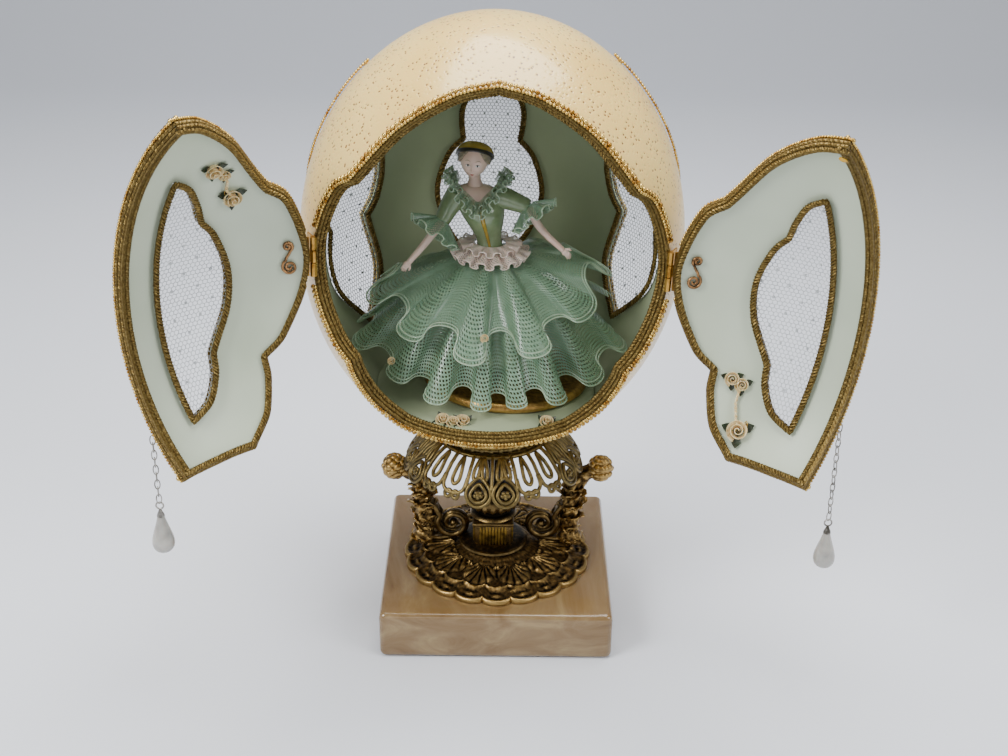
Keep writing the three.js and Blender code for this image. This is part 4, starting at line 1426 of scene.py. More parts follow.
@dataclass
class Casing:
    """The egg's shell and its two doors, which are sawn from one shell."""

    gap: float = 1.7
    segments: int = 144
    rings: int = 72

    def wall(self) -> bpy.types.Object:
        """The whole shell, before it is sawn.

        Returns:
            The closed shell, with its inner face.
        """
        sizes = [(EGG.half_width, EGG.half_height), (EGG.half_width - EGG.wall, EGG.half_height - EGG.wall)]
        outer, inner = (
            Bench.primitive(
                name, "uv_sphere", stretch=(w, w, h), segments=self.segments, ring_count=self.rings,
                radius=1
            )
            for name, (w, h) in zip(("outer", "inner"), sizes)
        )
        self._saw(outer, inner, "DIFFERENCE")
        return outer

    @staticmethod
    def _saw(obj: bpy.types.Object, tool: bpy.types.Object, operation: str) -> None:
        """Cuts an object with a tool, and removes the tool.

        Args:
            obj: the object to cut.
            tool: the object that cuts.
            operation: the boolean operation's name.
        """
        Bench.modify(obj, "BOOLEAN", object=tool, operation=operation, solver="MANIFOLD")
        bpy.data.objects.remove(tool)

    @staticmethod
    def _finish(obj: bpy.types.Object, lining: Finishes) -> None:
        """Glazes the outer face and lines the inner one.

        Args:
            obj: the sawn shell or panel.
            lining: the inner face's finish.
        """
        Bench.dress(obj, Finishes.SHELL, lining)
        middle = EGG.half_width - EGG.wall / 2
        for polygon in obj.data.polygons:
            c = polygon.center
            depth = math.hypot(c.x, c.y, c.z * EGG.half_width / EGG.half_height)
            polygon.material_index = 1 if depth < middle else 0
        Bench.smooth(obj, 30)

    def shell(self, opening: Outline, windows: dict[str, Outline]) -> bpy.types.Object:
        """The shell with the door opening and three windows.

        Args:
            opening: the door opening.
            windows: the outline of each window, by name.

        Returns:
            The shell.
        """
        made = self.wall()
        made.name = "egg_shell"
        self._saw(made, cone_through(opening.moved(self.gap)), "DIFFERENCE")
        for window in windows.values():
            self._saw(made, cone_through(window.moved(0)), "DIFFERENCE")
        # The inner face gets the darker lining copy, whose colour is painted shade.
        self._finish(made, Finishes.SHADE_LINING)
        return Bench.place(made, EGG.frame(), "case", "eggshell", ["shell"])

    def panel(self, side: Side, outline: Outline, window: Outline) -> bpy.types.Object:
        """A door's panel with its window.

        Args:
            side: which door.
            outline: the closed door's outline.
            window: the outline of its window.

        Returns:
            The panel, where the door is closed.
        """
        made = self.wall()
        made.name = f"door_shell_{side.label}"
        self._saw(made, cone_through(outline.moved(-self.gap)), "INTERSECT")
        self._saw(made, cone_through(window.moved(0)), "DIFFERENCE")
        self._finish(made, Finishes.LINING)
        return Bench.place(
            made, EGG.door(side), f"door_{side.label}", "eggshell", [f"door_panel_{side.label}"]
        )


@dataclass
class ShellTrims:
    """Beads, braid and nets of the shell's opening and windows."""

    opening: Outline
    windows: dict[str, Outline]
    hinge_zone: Flat = (-7, 13)

    def build(self) -> None:
        """Makes every trim on the shell."""
        frame = EGG.frame()
        low, high = self.hinge_zone
        for label, wanted in (("upper", lambda p: p.z > high), ("lower", lambda p: p.z < low)):
            beads = TRIMS.double_beads(f"beads_round_opening_{label}", self.opening.cut(wanted), 2.3, 1.0)
            Bench.place(beads, frame, "case", "gold_bead", [f"opening_beads_{label}"])
        edge = [TRIMS.ribbon("edge", self.opening, 1.05, 1.65, 0.15, -2.9),
                *(TRIMS.gimp("cord", self.opening, 0.95, high, 0.62, 0.72) for high in (-0.55, -1.85)),
                TRIMS.gimp("cord", self.opening, 1.5, -3.2, 1.35, 0.95)]
        Bench.place(Bench.join("braid_round_opening", edge), frame, "case", "gold_braid", ["opening_braid"])
        for name, window in self.windows.items():
            cord = [
                TRIMS.gimp("cord", window, 0.5, -3.95, 1.25, 0.85),
                TRIMS.gimp("cord", window, 0.1, -1.1, 0.8, 0.8)
            ]
            Bench.place(
                Bench.join(f"braid_round_{name}_window", cord), frame, "case", "gold_braid",
                [f"window_braid_{name}"]
            )
            beads = TRIMS.beads(f"beads_round_{name}_window", [window], 1, TRIMS.small_bead)
            Bench.place(beads, frame, "case", "gold_bead", [f"window_beads_{name}"])
            middle = sum((t.p for t in window.traces), Vector())
            stretch_net(
                f"tulle_in_{name}_window", window,
                math.degrees(math.atan2(middle.x, -middle.y)), frame, "case", f"window_net_{name}",
            )


def stretch_net(
    name: str, window: Outline, middle: float, frame: Matrix, body: str, node: str
) -> None:
    """Args:
        name: the piece's name.
        window: the window's outline.
        middle: the window's middle azimuth, in degrees.
        frame: the matrix that carries the net to where it stands.
        body: the body that carries it.
        node: the solid that it stands for.
    """
    net, area, size = Tulle(window, middle).build(name)
    Bench.place(net, frame, body, "tulle", [node])


@dataclass
class Door:
    """One door: panel, window, net, beads, braid, hinge scroll and ribbon roses."""

    side: Side
    hinge_zone: Flat = (-7, 13)
    scroll_azimuth: float = 53.6
    wire: float = 0.5
    net_middle: float = 25

    def outline(self) -> Outline:
        """The closed door's outline: half the opening and the line where the doors meet.

        Returns:
            The outline, on the shell.
        """
        half = Outline.sample(OPENING_LOBES)
        bottom, top = OPENING_LOBES[-1][-1], OPENING_LOBES[0][0]
        meeting = [(0.0, float(z)) for z in np.linspace(bottom[1], top[1], 150)[1:-1]]
        return Outline([EGG.front(self.side.value * x, z) for x, z in [*half, bottom, *meeting]])

    def build(self) -> None:
        """Makes every piece that swings with the door."""
        side, sign, label = self.side, self.side.value, self.side.label
        frame, body = EGG.door(side), f"door_{self.side.label}"
        outline = self.outline()
        window = Outline.from_lobes(DOOR_WINDOW_LOBES, lambda x, z: EGG.front(sign * x, z))
        Casing().panel(side, outline, window)
        low, high = self.hinge_zone
        beads = TRIMS.double_beads(
            f"beads_round_door_{label}",
            outline.cut(lambda p: abs(p.x) < 50 or not low < p.z < high), -2.35, -1.15
        )
        Bench.place(beads, frame, body, "gold_bead", [f"door_beads_{label}"])
        clear = outline.cut(lambda p: abs(p.x) < 50 or not low < p.z < high)
        away = outline.cut(lambda p: abs(p.x) > 0.01)[0]
        meeting = outline.cut(lambda p: abs(p.x) < 0.01)[0]
        braid = [
            TRIMS.ribbon("edge", outline, -1.05, -1.65, 0.15, -2.7),
            *(
                TRIMS.gimp("cord", part, -0.95, depth, 0.62, 0.72)
                for part in clear
                for depth in (-0.5, -1.75)
            ),
            TRIMS.gimp("cord", away, -1.85, -3.05, 1.15, 0.85),
            TRIMS.ribbon("ribbon", meeting, -0.4, -2.3, -2.75, 0.35),
            TRIMS.gimp("cord", meeting, -2.7, -2.95, 0.9, 0.75)
        ]
        Bench.place(
            Bench.join(f"braid_round_door_{label}", braid), frame, body, "gold_braid",
            [f"door_braid_{label}"]
        )
        cord = [
            TRIMS.gimp("cord", window, 0.5, -3.95, 1.25, 0.85),
            TRIMS.gimp("cord", window, 0.1, -1.1, 0.8, 0.8)
        ]
        Bench.place(
            Bench.join(f"braid_round_door_window_{label}", cord), frame, body, "gold_braid",
            [f"door_window_braid_{label}"]
        )
        beads = TRIMS.beads(f"beads_round_door_window_{label}", [window], 1, TRIMS.small_bead)
        Bench.place(beads, frame, body, "gold_bead", [f"door_window_beads_{label}"])
        stretch_net(
            f"tulle_in_door_{label}", window, sign * self.net_middle, frame, body, f"door_net_{label}",
        )
        Bench.place(self.scroll(), frame, body, "copper", [f"door_scroll_{label}"])

    def scroll(self) -> bpy.types.Object:
        """The S of coppered wire, with a tight curl at each end.

        Returns:
            The scroll, where the door is closed.
        """
        flat: list[Flat] = []
        for (s, z, r), first, last, near, far, count in (
            ((0.4, 8.4, 1.9), -650, -120, 0.2, 1.0, 44), ((-0.2, 0.7, 2.7), 60, -560, 1.0, 0.18, 52)
        ):
            for i in range(count + 1):
                share = i / count
                angle = math.radians(first + (last - first) * share)
                size = r * (near + (far - near) * share)
                flat.append((s + size * math.cos(angle), z + size * math.sin(angle)))
            if first == -650:
                flat += [(-0.35, 6.2), (0.3, 5.0), (0.95, 4.0)]
        degree = math.radians(EGG.half_width)
        points = [EGG.inner(self.side, self.scroll_azimuth - s / degree, z, 3.0) for s, z in flat]
        made = Bench.tubes(
            f"hinge_scroll_{self.side.label}", [points],
            [self.wire * min(1, 0.55 + 0.05 * min(i, len(points) - 1 - i)) for i in range(len(points))], 7
        )
        Bench.dress(made, Finishes.SCROLL)
        Bench.smooth(made, 60)
        return made


def ovals(
    name: str, levels: Sequence[Sequence[float]], sides: int = 16, smooth: int = 2
) -> bpy.types.Object:
    """A rounded body through level ovals, each x, y, z, half width and half depth.

    Args:
        name: the new object's name.
        levels: the ovals, from one end to the other.
        sides: points in each oval.
        smooth: how far the levels are smoothed.

    Returns:
        The body.
    """
    points = [Vector((x + rx * math.cos(TURN * k / sides), y + ry * math.sin(TURN * k / sides), z))
              for x, y, z, rx, ry in levels for k in range(sides)]
    faces: list[tuple[int, ...]] = [
        tuple(reversed(range(sides))), tuple(range(len(points) - sides, len(points)))
    ]
    for i in range(len(levels) - 1):
        for k in range(sides):
            a, b = i * sides + k, i * sides + (k + 1) % sides
            faces.append((a, b, b + sides, a + sides))
    made = Bench.mesh(name, points, faces)
    Bench.outward(made)
    Bench.modify(made, "SUBSURF", levels=smooth, render_levels=smooth)
    Bench.smooth(made, 180)
    return made


@dataclass
class Lace:
    """Lace dipped in slip and fired: a sheet of open square meshes, in folds that are set hard."""

    mesh: float = 1.15
    hole: float = 0.5
    hem: float = 0.3

    def weave(
        self, name: str, grid: np.ndarray, wrap: bool, finish: Finishes, hem: Finishes,
        hem_rows: Sequence[int] = (-1,)
    ) -> bpy.types.Object:
        """Makes the open meshes and the corded hem.

        Args:
            name: the piece's name.
            grid: points as rows, columns and coordinates, from the gathered edge to the hem.
            wrap: whether the columns run round into the first.
            finish: the lace's finish.
            hem: the hem's finish.
            hem_rows: the rows along which a cord runs.

        Returns:
            The lace.
        """
        rows, columns = grid.shape[:2]
        cells = columns if wrap else columns - 1
        i, j = np.meshgrid(np.arange(rows - 1), np.arange(cells), indexing="ij")
        after = (j + 1) % columns
        corner = np.stack(
            [i * columns + j, i * columns + after, (i + 1) * columns + after, (i + 1) * columns + j], -1
        )
        corner = corner.reshape(-1, 4)
        points = grid.reshape(-1, 3)
        middle = points[corner].mean(1, keepdims=True)
        holes = (middle + (points[corner] - middle) * self.hole).reshape(-1, 3)
        inner = len(points) + np.arange(len(corner) * 4).reshape(-1, 4)
        faces = []
        for k in range(4):
            m = (k + 1) % 4
            faces.append(np.stack([corner[:, k], corner[:, m], inner[:, m], inner[:, k]], -1))
        made = Bench.mesh("lace", np.concatenate([points, holes]), np.concatenate(faces).tolist())
        Bench.dress(made, finish)
        Bench.smooth(made, 180)
        lines = [[Vector(p) for p in grid[row]] for row in hem_rows]
        cord = Bench.tubes("hem", lines, self.hem, 6, closed=wrap)
        Bench.dress(cord, hem)
        Bench.smooth(cord, 180)
        return Bench.join(name, [made, cord])


LACE = Lace()


@dataclass
class Tier:
    """One tier of the lace skirt, gathered at the waist, with deep flutes at the hem.

    hem lists degrees from the front, radius and height; flutes lists the degrees at which flutes stand out.
    """

    name: str
    node: str
    waist: tuple[float, float, float, float]
    hem: tuple[tuple[float, float, float], ...]
    flutes: tuple[float, ...]
    swing: float
    lift: float
    curl: float
    open: bool = False
    mesh: float = 1.15

    def build(self) -> bpy.types.Object:
        """Gathers the lace and sets its folds.

        Returns:
            The tier.
        """
        x, y, z, start = self.waist
        ring = list(self.hem) if self.open else [*self.hem, (self.hem[0][0] + 360, *self.hem[0][1:])]
        angles = np.array([h[0] for h in ring])
        folds = np.array([*self.flutes, self.flutes[0] + 360])
        first, last = ring[0][0], ring[-1][0]

        def point(u: np.ndarray, t: np.ndarray) -> np.ndarray:
            """The lace's point at a share of the way to the hem and an angle.

            Args:
                u: the shares, 0 at the waist to 1 at the hem.
                t: the angles, in degrees.

            Returns:
                A point for each pair.
            """
            turned = (t - folds[0]) % 360 + folds[0]
            phase = TURN * np.interp(turned, folds, np.arange(len(folds)))
            k = np.clip(np.searchsorted(angles, t, side="right") - 1, 0, len(ring) - 2)
            share = (t - angles[k]) / (angles[k + 1] - angles[k])
            eased = share * share * (3 - 2 * share)
            radii, lows = np.array([h[1] for h in ring]), np.array([h[2] for h in ring])
            radius = radii[k] + (radii[k + 1] - radii[k]) * eased
            low = lows[k] + (lows[k + 1] - lows[k]) * eased
            grow = 0.3 + 0.7 * u ** 1.2
            sway = 1 + 0.22 * np.sin(2.1 * phase / TURN + 0.8)
            angle = np.radians(t + self.curl * u ** 1.4 * np.sin(2 * phase))
            r = start + (radius - start) * u + self.swing * sway * grow * (np.cos(phase) - 0.15)
            height = z + (low - z) * u ** 1.3 - self.lift * sway * u ** 2.2 * np.cos(phase)
            return np.stack([x + r * np.sin(angle), y - r * np.cos(angle), height], -1)

        slope = np.linalg.norm(
            point(np.array([1.0]), np.array([first]))[0] - point(np.array([0.0]), np.array([first]))[0]
        )
        rows = max(6, int(slope / self.mesh))
        bounds = self._valleys(folds, first, last)
        counts = [
            self._length(point, 1.0, bounds[k], bounds[k + 1]) / self.mesh for k in range(len(bounds) - 1)
        ]
        starts = np.concatenate([[0], np.cumsum(np.round(counts))])
        total = int(starts[-1])
        grid = []
        for i in range(rows + 1):
            u = i / rows
            index = np.arange(total) + (0 if self.open else 0.5 * i)
            if not self.open:
                index = index % total
            line = np.empty((total, 3))
            for k in range(len(bounds) - 1):
                inside = (index >= starts[k]) & (index < starts[k + 1])
                if inside.any():
                    share = (index[inside] - starts[k]) / (starts[k + 1] - starts[k])
                    line[inside] = self._across(
                        point, u, bounds[k], bounds[k + 1], share, (starts[k + 1] - starts[k]) * self.mesh
                    )
            grid.append(line)
        return LACE.weave(self.name, np.array(grid), not self.open, Finishes.LACE, Finishes.HEM, (-1, -2))

    @staticmethod
    def _valleys(folds: np.ndarray, first: float, last: float) -> np.ndarray:
        """The angles between flutes, from the cloth's first edge to its last.

        Args:
            folds: the flutes' crests, in degrees.
            first: the cloth's first edge.
            last: its last edge.

        Returns:
            The angles, in degrees.
        """
        halfway = (folds[1:] + folds[:-1]) / 2
        every = np.sort(np.concatenate([halfway - 360, halfway, halfway + 360]))
        within = every[(every > first + 1) & (every < last - 1)]
        if last - first > 359.9:
            return np.concatenate([within, [within[0] + 360]])
        return np.concatenate([[first], within, [last]])

    @staticmethod
    def _length(point: Callable, u: float, start: float, end: float) -> float:
        """The lace's length between two angles at a share of the way down.

        Args:
            point: the lace's form.
            u: the share of the way down.
            start: the first angle, in degrees.
            end: the last angle.

        Returns:
            The length, in millimetres.
        """
        t = np.linspace(start, end, 80)
        return float(np.linalg.norm(np.diff(point(np.full_like(t, u), t), axis=0), axis=1).sum())

    @staticmethod
    def _across(
        point: Callable, u: float, start: float, end: float, share: np.ndarray, width: float
    ) -> np.ndarray:
        """Lays a flute's threads side by side from its crest, and crowds the rest into its two valleys.

        Args:
            point: the lace's form.
            u: the share of the way down.
            start: the flute's first valley, in degrees.
            end: its other valley.
            share: each thread's place in the flute, 0 to 1.
            width: the flute's width when pressed flat.

        Returns:
            A point for each thread.
        """
        t = np.linspace(start, end, 160)
        spots = point(np.full_like(t, u), t)
        run = np.concatenate([[0], np.cumsum(np.linalg.norm(np.diff(spots, axis=0), axis=1))])
        half = run[-1] / 2
        far = (share - 0.5) * width
        easy = 0.5 * half
        crowd = np.where(
            np.abs(far) < easy, np.abs(far),
            easy + (np.abs(far) - easy) * (half - easy) / max(width / 2 - easy, 1e-6)
        )
        place = half + np.sign(far) * (crowd if half < width / 2 else np.abs(far) * 2 * half / width)
        return np.stack([np.interp(place, run, spots[:, k]) for k in range(3)], -1)


@dataclass
class Frill:
    """A strip of lace gathered along a line, which stands out from it in flutes."""

    name: str
    line: tuple[tuple[float, float, float], ...]
    out: tuple[tuple[float, float, float], ...]
    width: float
    flutes: int
    depth: float
    closed: bool = True
    mesh: float = 0.62
    finish: Finishes = Finishes.HEM

    def build(self) -> bpy.types.Object:
        """Gathers the strip.

        Returns:
            The frill.
        """
        n = len(self.line)
        spans = n if self.closed else n - 1
        line, out = np.array(self.line, float), np.array(self.out, float)
        out /= np.linalg.norm(out, axis=1, keepdims=True)

        def along(values: np.ndarray, t: np.ndarray) -> np.ndarray:
            """Smoothly follows the given values, from 0 to the number of spans.

            Args:
                values: a point or direction for each place on the line.
                t: the places, from 0 to the number of spans.

            Returns:
                A point or direction for each place.
            """
            i = np.minimum(t.astype(int), spans - 1)
            s = (t - i)[:, None]
            take = (lambda k: values[k % n]) if self.closed else (lambda k: values[np.clip(k, 0, n - 1)])
            a, b, c, d = take(i - 1), take(i), take(i + 1), take(i + 2)
            return spline(a, b, c, d, s)

        dense = np.linspace(0, spans, 900)
        run = np.concatenate([[0], np.cumsum(np.linalg.norm(np.diff(along(line, dense), axis=0), axis=1))])
        stretch = math.hypot(1, 3.2 * self.depth * self.flutes / run[-1])
        columns = max(24, int(run[-1] * stretch / self.mesh))
        rows = max(4, int(self.width / self.mesh))
        grid = []
        for i in range(rows + 1):
            u = i / rows
            spots = (
                np.linspace(0, run[-1], columns, endpoint=not self.closed)
                + (0.5 * i * run[-1] / columns if self.closed else 0)
            ) % (run[-1] + 1e-9)
            t = np.interp(spots, run, dense)
            base, way = along(line, t), along(out, t)
            ahead = along(line, np.minimum(t + 0.01, spans)) - along(line, np.maximum(t - 0.01, 0))
            ahead /= np.linalg.norm(ahead, axis=1, keepdims=True)
            face = np.cross(ahead, way)
            phase = (TURN * self.flutes * spots / run[-1])[:, None]
            rise = self.depth * u ** 0.8
            grid.append(
                base
                + way * (self.width * u)
                + face * (rise * np.cos(phase))
                + ahead * (0.45 * rise * np.sin(2 * phase))
            )
        lace = Lace(self.mesh, 0.5, 0.26)
        return lace.weave(
            self.name, np.array(grid), self.closed, self.finish,
            Finishes.HEM if self.finish is not Finishes.BLUSH else Finishes.BLUSH
        )


@dataclass
class Head:
    """A porcelain head with a calm, plain face, painted features, waved hair and a gilded cap."""

    centre: tuple[float, float, float] = (-7.4, 3.9, 26.0)
    size: tuple[float, float, float] = (4.9, 5.2, 6.5)
    nod: float = 10
    turn: float = -6
    tilt: float = 3

    def frame(self) -> Matrix:
        """From the head's own frame, whose face looks along -Y, to the egg's.

        Returns:
            The matrix.
        """
        turned = Matrix.Rotation(math.radians(self.turn), 4, "Z") @ Matrix.Rotation(
            math.radians(self.nod), 4, "X"
        )
        return Matrix.Translation(self.centre) @ turned @ Matrix.Rotation(math.radians(self.tilt), 4, "Y")

    def form(self, d: Vector) -> Vector:
        """The head's surface in a direction.

        Args:
            d: the direction, of length 1, in the head's own frame.

        Returns:
            The point, in the same frame.
        """
        def swell(x: float, y: float, z: float, wide: float, high: float) -> float:
            """A soft bump round a direction.

            Args:
                x: the bump's direction across.
                y: its direction back.
                z: its direction up.
                wide: how wide it is.
                high: how high it is.

            Returns:
                The bump's strength here, 0 to 1.
            """
            way = Vector((x, y, z)).normalized()
            if d.dot(way) < 0:
                return 0.0
            return math.exp(-((d.x - way.x) / wide) ** 2 - ((d.z - way.z) / high) ** 2)

        p = Vector((d.x * self.size[0], d.y * self.size[1], d.z * self.size[2]))
        if d.z < 0:
            p.x *= 1 - 0.34 * (-d.z) ** 1.4
            p.y *= 1 - 0.2 * (-d.z) ** 2
        out = 0.0
        for s in (-1, 1):
            out += 0.28 * swell(0.5 * s, -0.85, -0.22, 0.24, 0.22)
            out -= 0.42 * swell(0.36 * s, -0.92, 0.1, 0.17, 0.13)
            out += 0.16 * swell(0.34 * s, -0.92, 0.09, 0.09, 0.06)
            out += 0.12 * swell(0.32 * s, -0.9, 0.29, 0.2, 0.06)
            out += 0.14 * swell(0.09 * s, -0.97, -0.24, 0.05, 0.045)
        out += 0.95 * swell(0, -0.97, -0.2, 0.085, 0.085) + 0.55 * swell(0, -0.98, -0.02, 0.07, 0.17)
        out += 0.34 * swell(0, -0.88, -0.43, 0.17, 0.04) + 0.3 * swell(0, -0.84, -0.51, 0.13, 0.04)
        out -= 0.16 * swell(0, -0.84, -0.47, 0.2, 0.02)
        out += 0.5 * swell(0, -0.7, -0.76, 0.22, 0.12)
        return p + d * out

    def skull(self) -> bpy.types.Object:
        """The head, with the neck.

        Returns:
            The head and neck as one object.
        """
        ball = Bench.primitive("head", "uv_sphere", segments=96, ring_count=72, radius=1)
        for vertex in ball.data.vertices:
            vertex.co = self.form(vertex.co.normalized())
        ball.data.transform(self.frame())
        Bench.smooth(ball, 180)
        neck = ovals(
            "neck",
            [
                (-6.7, 4.6, 15.4, 4.4, 3), (-6.8, 4.6, 17, 2.9, 2.6), (-7, 4.5, 19, 2.1, 2.05),
                (-7.2, 4.4, 21.5, 1.95, 1.95), (-7.3, 4.5, 24, 2.2, 2.4)
            ]
        )
        return Bench.join("skull", [Bench.dress(ball, Finishes.SKIN), Bench.dress(neck, Finishes.SKIN)])

    def patch(self, name: str, outline: Sequence[Flat], lift: float, finish: Finishes) -> bpy.types.Object:
        """A painted patch on the face, from directions given as x and z.

        Args:
            name: the new object's name.
            outline: the patch's outline, as directions x and z.
            lift: how far the paint stands off the face.
            finish: the paint.

        Returns:
            The patch.
        """
        rings = []
        n = len(outline)
        mx, mz = sum(p[0] for p in outline) / n, sum(p[1] for p in outline) / n
        points = []
        for share in (1.0, 0.66, 0.33):
            for x, z in outline:
                u, v = mx + (x - mx) * share, mz + (z - mz) * share
                d = Vector((u, -math.sqrt(max(0.05, 1 - u * u - v * v)), v))
                points.append(self.frame() @ (self.form(d) + d * lift))
            rings.append(len(points) - n)
        d = Vector((mx, -math.sqrt(1 - mx * mx - mz * mz), mz))
        points.append(self.frame() @ (self.form(d) + d * lift))
        faces = [
            (a + k, a + (k + 1) % n, b + (k + 1) % n, b + k)
            for a, b in zip(rings, rings[1:])
            for k in range(n)
        ]
        faces += [(rings[-1] + k, rings[-1] + (k + 1) % n, len(points) - 1) for k in range(n)]
        return Bench.dress(Bench.mesh(name, points, faces), finish)

    def stroke(self, name: str, spots: Sequence[Flat], radius: float, finish: Finishes) -> bpy.types.Object:
        """A brush stroke on the face, thin at both ends.

        Args:
            name: the new object's name.
            spots: the stroke's line, as directions x and z.
            radius: half the stroke's thickness.
            finish: the paint.

        Returns:
            The stroke.
        """
        line, radii = [], []
        count = (len(spots) - 1) * 5
        for i in range(count + 1):
            t = i / 5
            k = min(int(t), len(spots) - 2)
            u = spots[k][0] + (spots[k + 1][0] - spots[k][0]) * (t - k)
            v = spots[k][1] + (spots[k + 1][1] - spots[k][1]) * (t - k)
            d = Vector((u, -math.sqrt(1 - u * u - v * v), v))
            line.append(self.frame() @ (self.form(d) + d * 0.02))
            radii.append(radius * (0.35 + 0.65 * math.sin(math.pi * i / count)))
        return Bench.dress(Bench.tubes(name, [line], radii, 6), finish)

    def face(self) -> list[bpy.types.Object]:
        """Eyes, brows and lips, as a china painter puts them on.

        Returns:
            The painted parts.
        """
        made = []
        for s in (-1, 1):
            lid = [
                (s * x, z)
                for x, z in ((0.19, 0.06), (0.27, 0.112), (0.36, 0.128), (0.46, 0.1), (0.53, 0.04))
            ]
            low = [(s * x, z) for x, z in ((0.45, 0.015), (0.36, 0.0), (0.27, 0.015))]
            made.append(self.patch("white", lid + low, 0.03, Finishes.PAINT_WHITE))
            iris = [
                (s * 0.355 + 0.066 * math.cos(TURN * k / 12), 0.062 + 0.056 * math.sin(TURN * k / 12))
                for k in range(12)
            ]
            made.append(self.patch("iris", iris, 0.07, Finishes.INK))
            made.append(self.stroke("lid", lid, 0.1, Finishes.INK))
            made.append(
                self.stroke(
                    "brow",
                    [(s * 0.17, 0.29), (s * 0.3, 0.36), (s * 0.44, 0.345), (s * 0.56, 0.27)], 0.09,
                    Finishes.HAIR
                )
            )
        upper = [
            (-0.17, -0.455), (-0.08, -0.425), (-0.03, -0.415), (0, -0.425), (0.03, -0.415), (0.08, -0.425),
            (0.17, -0.455), (0.08, -0.462), (0, -0.468), (-0.08, -0.462)
        ]
        lower = [(-0.15, -0.465), (0, -0.472), (0.15, -0.465), (0.09, -0.525), (0, -0.545), (-0.09, -0.525)]
        made.append(self.patch("upper_lip", upper, 0.04, Finishes.LIPS))
        made.append(self.patch("lower_lip", lower, 0.04, Finishes.LIPS))
        return made

    def hair(self) -> bpy.types.Object:
        """Waved hair, drawn back from the brow over the ears to the nape.

        Returns:
            The hair.
        """
        lines, model = [], self.frame()
        for s in (-1, 1):
            for k in range(15):
                line = []
                for i in range(19):
                    t = i / 18
                    side = 24 + 3.2 * k + 58 * t ** 0.8
                    height = 66 - 4.6 * k - (58 - 3.2 * k) * t ** 1.4 + 4 * math.sin(9 * t + k * 0.5)
                    back = 150 * t
                    azimuth = math.radians(min(178.0, side * (1 - t) + (side + back * 0.75) * t))
                    level = math.radians(max(-52.0, height - 22 * t * (k / 14)))
                    d = Vector(
                        (
                            s * math.sin(azimuth) * math.cos(level), -math.cos(azimuth) * math.cos(level),
                            math.sin(level)
                        )
                    )
                    p = Vector(
                        (
                            d.x * (self.size[0] + 0.35), d.y * (self.size[1] + 0.3),
                            d.z * (self.size[2] + 0.1)
                        )
                    )
                    if d.z < 0:
                        p.x *= 1 - 0.2 * (-d.z)
                    line.append(model @ p)
                lines.append(line)
        radii = [0.3 + 0.42 * math.sin(math.pi * min(1, (i + 2) / 19)) for i in range(19)]
        made = Bench.tubes("hair", lines, radii, 6)
        knot = Bench.primitive(
            "knot", "uv_sphere", stretch=(3.6, 2.8, 3.6), segments=24, ring_count=16, radius=1,
            location=(0, 4.4, -1.2)
        )
        knot.data.transform(model)
        Bench.smooth(made, 180)
        Bench.smooth(knot, 180)
        return Bench.join("hair", [Bench.dress(made, Finishes.HAIR), Bench.dress(knot, Finishes.HAIR)])

    def cap(self) -> bpy.types.Object:
        """The gilded cap with its black band, set back on the head.

        Returns:
            The cap.
        """
        crown = Bench.lathe(
            "crown",
            [
                (0, 8.4), (2.2, 8.25), (4.2, 7.7), (5.7, 6.6), (6.5, 5.1), (6.5, 4.2), (6, 4.1), (5.9, 4.9),
                (5.1, 6), (3.7, 7), (1.9, 7.5), (0, 7.6)
            ],
            56
        )
        band = Bench.lathe(
            "band",
            [
                (6.1, 4.5), (6.72, 4.5), (6.8, 4.15), (6.72, 3.5), (6.3, 3.2), (5.9, 3.4), (5.9, 4.3),
                (6.1, 4.5)
            ],
            56
        )
        made = Bench.join(
            "figurine_hat", [Bench.dress(crown, Finishes.CAP), Bench.dress(band, Finishes.INK)]
        )
        back = Matrix.Translation((0, 1.3, 1.5)) @ Matrix.Rotation(math.radians(-44), 4, "X")
        made.data.transform(self.frame() @ back @ Matrix.Translation((0, 0, -3.9)))
        return made


